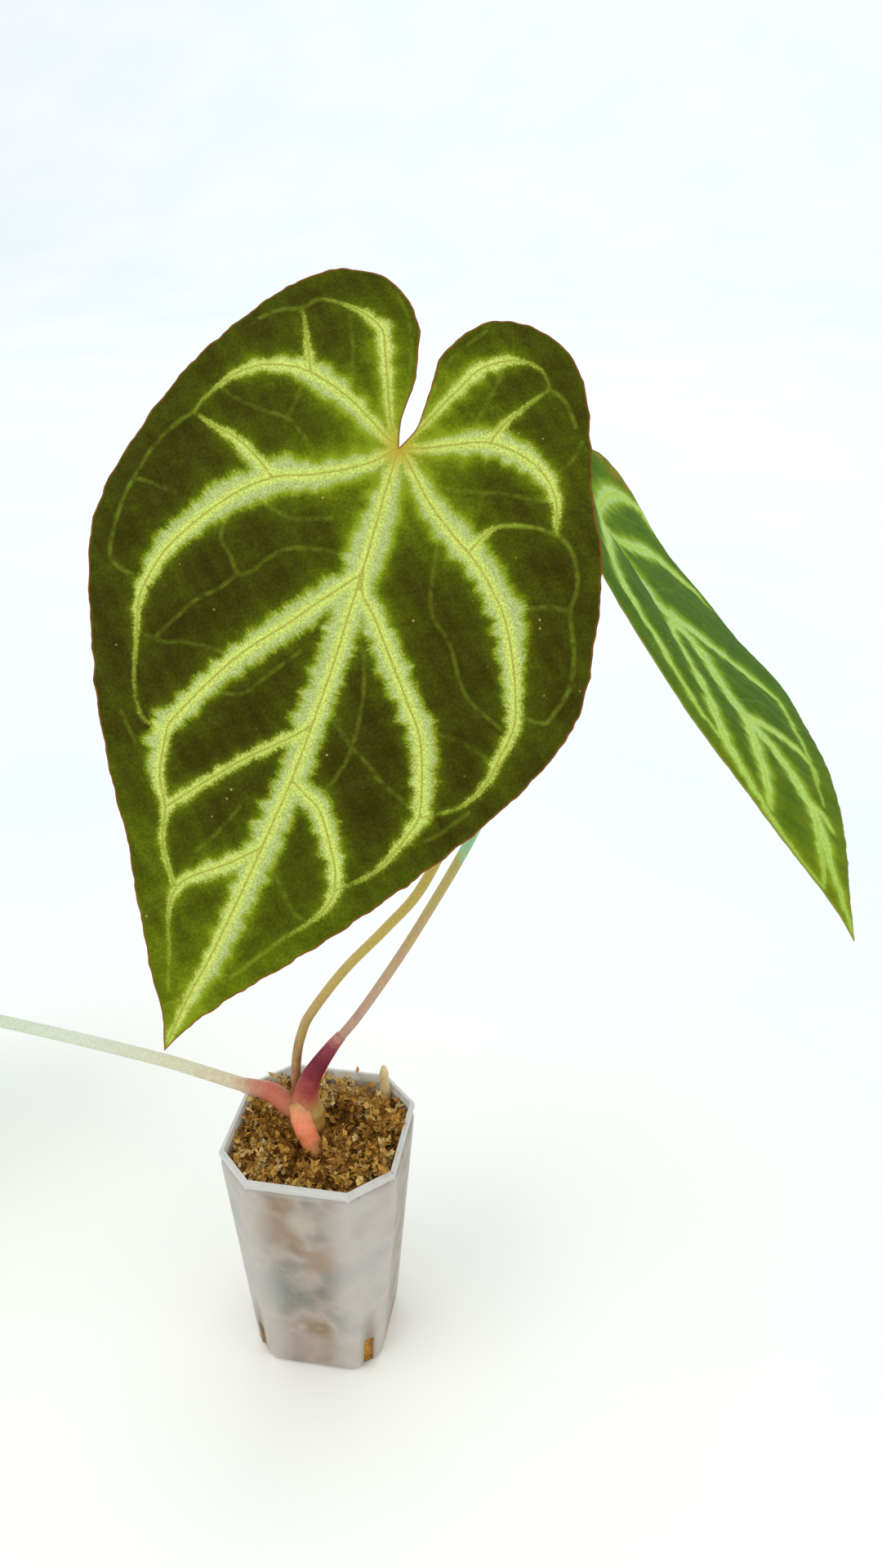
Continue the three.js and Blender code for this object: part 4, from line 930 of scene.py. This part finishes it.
# round the upright corners and the foot
selectBy(shell, "edges", lambda e: abs(np.subtract(*[end.z for end in endsOf(shell, e)])) > halfway)
bpy.ops.mesh.bevel(offset=pot["cornerRound"] * mm, segments=4, affect="EDGES")
selectBy(shell, "polygons", lambda f: f.normal.z < -0.9)
bpy.ops.mesh.inset(thickness=pot["footInset"] * mm)
bpy.ops.transform.translate(value=(0, 0, pot["footRise"] * mm))
selectBy(shell, "edges", lambda e: all(end.z < 0.1 * mm and end.xy.length > pot["footRing"] * mm
                                       for end in endsOf(shell, e)))
bpy.ops.mesh.bevel(offset=pot["footRound"] * mm, segments=3, affect="EDGES")
# the lip, the rim and the inside
widthHere = pot["base"] + (pot["rim"] - pot["base"]) * lipShare
innerWidth = pot["rim"] - 2 * pot["wall"]
selectBy(shell, "polygons", lambda f: f.normal.z > 0.9 and f.center.z > halfway)
extrudeUp(pot["lipFlare"], (pot["rim"] + 2 * pot["lipProud"]) / widthHere)
extrudeUp(pot["lipHeight"])
bpy.ops.mesh.inset(thickness=(pot["lipProud"] + pot["wall"]) * mm)
extrudeUp(pot["floor"] + pot["footRise"] - pot["height"], (pot["base"] - 2 * pot["wall"] - 1) / innerWidth)
editDone()
soft = shell.modifiers.new("softEdges", "BEVEL")
soft.width = pot["softEdge"] * mm
soft.segments = 3
soft.limit_method = "ANGLE"
soft.angle_limit = math.radians(55)
bpy.ops.object.modifier_apply(modifier="softEdges")
# a drain slot low in each cut corner
cornerDistance = (pot["base"] - pot["baseLeg"]) / math.sqrt(2) * mm
for i in range(4):
    turn = math.pi / 4 + i * math.pi / 2
    clearSelection()
    bpy.ops.mesh.primitive_cube_add(size=1, rotation=(0, 0, turn), location=(
        cornerDistance * math.cos(turn), cornerDistance * math.sin(turn), 0))
    cutter = bpy.context.object
    cutter.scale = (pot["slotDepth"] * mm, pot["slotWidth"] * mm, 2 * pot["slotHeight"] * mm)
    bpy.ops.object.transform_apply(location=True, rotation=True, scale=True)
    editAll()
    bpy.ops.mesh.bevel(offset=pot["slotRound"] * mm, segments=3, affect="EDGES")
    editDone()
    pick(shell)
    slotCut = shell.modifiers.new("slotCut", "BOOLEAN")
    slotCut.object = cutter
    slotCut.operation = "DIFFERENCE"
    slotCut.solver = "EXACT"
    bpy.ops.object.modifier_apply(modifier="slotCut")
    bpy.data.objects.remove(cutter, do_unlink=True)
bpy.ops.object.shade_smooth_by_angle(angle=math.radians(40))
for point in shell.data.vertices:
    point.co.z = max(point.co.z, 0)  # it stands flat on its foot


# Thermoformed polypropylene: a thin milky frosted sheet, so the damp moss that presses on it
# shows as soft brown and grey clouds, and it is palest at the corners where nothing touches it
def potMaterial(name):
    material, add, shader = newMaterial(name, {"Transmission Weight": 0.35, "IOR": 1.3,
                                               "Specular IOR Level": 0.4})
    place = add("TexCoord", out="Object")
    # patterns by their size in mm and roughness
    warp, flakes, fine = [add("TexNoise", {"Vector": place, "Scale": 1 / (size * mm), "Detail": 3.0,
                                           "Roughness": rough})
                          for size, rough in ((15, 0.4), (6, 0.5), (1.2, 0.5))]
    veil = add("ValToRGB", (warp,), stops=[
        (0.28, "#8c8b80"), (0.41, "#b4a899"), (0.5, "#c9bcad"), (0.58, "#bba78f"), (0.68, "#a88d6d"),
        (0.8, "#d6c8b0")])
    coats = []
    for middle, reach, colour in pot["clouds"]:
        away = add("VectorMath", (place, tuple(Vector(middle) * mm)), out="Value", operation="DISTANCE")
        coats.append((add("MapRange", (away, reach * mm, 0.3 * reach * mm, 0, 0.7), **eased), colour))
    coats.append((add("MapRange", (flakes, 0.55, 0.8, 0, 0.45), **eased), "#dcd6c8"))
    # paler towards the upright corners and on the lip
    x, y, height = [add("SeparateXYZ", (place,), out=i) for i in range(3)]
    x, y = [add("Math", (side,), operation="ABSOLUTE") for side in (x, y)]
    sides = add("Math", (x, y), **plus)
    half = add("MapRange", (height, 0, pot["height"] * mm, pot["base"] / 2 * mm, pot["rim"] / 2 * mm))
    corner = add("Math", (sides, half), operation="DIVIDE")
    corner = add("MapRange", (corner, 1.2, 1.62, 0, 0.62), **eased)
    lip = add("MapRange", (height, *[z * mm for z in pot["lipPale"]]))
    coats.append((add("Math", (corner, lip), **most), "#eceae2"))
    # damp moss shows above the drain slots
    skew = add("Math", (x, y), operation="SUBTRACT")
    skew = add("Math", (skew,), operation="ABSOLUTE")
    stain = add("MapRange", (skew, *[reach * mm for reach in pot["stainAcross"]]))
    low = add("MapRange", (height, *[z * mm for z in pot["stainUp"]]))
    for share in (low, add("MapRange", (corner, 0.3, 0.6, 0, 0.7))):
        stain = add("Math", (stain, share), **times)
    coats.append((stain, "#94734a"))
    for share, colour in coats:
        veil = add("Mix", {0: share, 6: veil, 7: colour}, **mixed)
    rough = add("MapRange", (fine, 0, 1, 0.3, 0.5))
    bump = add("Bump", {"Height": fine, "Strength": 0.15, "Distance": 0.2 * mm})
    dressShader(shader, {"Base Color": veil, "Roughness": rough, "Normal": bump})
    return material


settle(shell, "pot_shell", potMaterial("polypropylene, thermoformed"), "pot_plastic", "pot")
print("pot is made")

# studio: a paper sweep, four soft lamps and a pale room
studio = {"size": 8, "back": 3, "wall": 5, "curve": 1.6, "middle": (0.02, 0, 0.2), "room": "#f1f6fd"}
clearSelection()
bpy.ops.mesh.primitive_plane_add(size=studio["size"], location=(0, 0, 0))
sweep = bpy.context.object
selectBy(sweep, "edges", lambda e: all(end.y > studio["back"] for end in endsOf(sweep, e)))
bpy.ops.mesh.extrude_region_move(TRANSFORM_OT_translate={"value": (0, 0, studio["wall"])})
selectBy(sweep, "edges", lambda e: all(end.y > studio["back"] and end.z < 0.1
                                       for end in endsOf(sweep, e)))
bpy.ops.mesh.bevel(offset=studio["curve"], segments=24, affect="EDGES")
editDone()
bpy.ops.object.shade_smooth()
sweep.name = "studio_sweep"
paper, add, shader = newMaterial("matt white paper", {"Roughness": 0.9, "Specular IOR Level": 0.1})
place = add("TexCoord", out="Object")
cloudy = add("TexNoise", {"Vector": place, "Scale": 4.0, "Detail": 2.0})
cloudy = add("ValToRGB", (cloudy,), stops=[(0.3, "#eff3f2"), (0.7, "#f6f8f6")])
# painted warm light: a pool of it on the paper round the pot, strongest within 5 cm of the middle and gone
# at half a metre
near = add("VectorMath", (place,), out="Value", operation="LENGTH")
near = add("MapRange", (near, 0.5, 0.05), **eased)
warmLightPool = add("Mix", {0: near, 6: cloudy, 7: "#fdfbf2"}, **mixed)
dressShader(shader, {"Base Color": warmLightPool})
sweep.data.materials.append(paper)

# place, target, size in metres and power in watts
lamps = {"key": ((-0.9, -1.0, 1.7), studio["middle"], 1.4, 8),
         "fill": ((1.4, -0.8, 1.1), studio["middle"], 1.6, 3.8),
         "back": ((0.2, 1.4, 1.6), studio["middle"], 1.6, 3),
         "wall": ((0, 1.6, 2.4), (0, 4, 1.2), 2.5, 13)}
for name, (place, target, size, power) in lamps.items():
    aim = (Vector(target) - Vector(place)).to_track_quat("-Z", "Y").to_euler()
    bpy.ops.object.light_add(type="AREA", location=place, rotation=aim)
    lamp = bpy.context.object
    lamp.name = name + "_light"
    lamp.data.size = size
    lamp.data.energy = power
world = bpy.data.worlds.new("pale room")
bpy.context.scene.world = world
world.use_nodes = True
room = world.node_tree.nodes["Background"].inputs
room["Color"].default_value = toLinear(studio["room"])
room["Strength"].default_value = 1.0
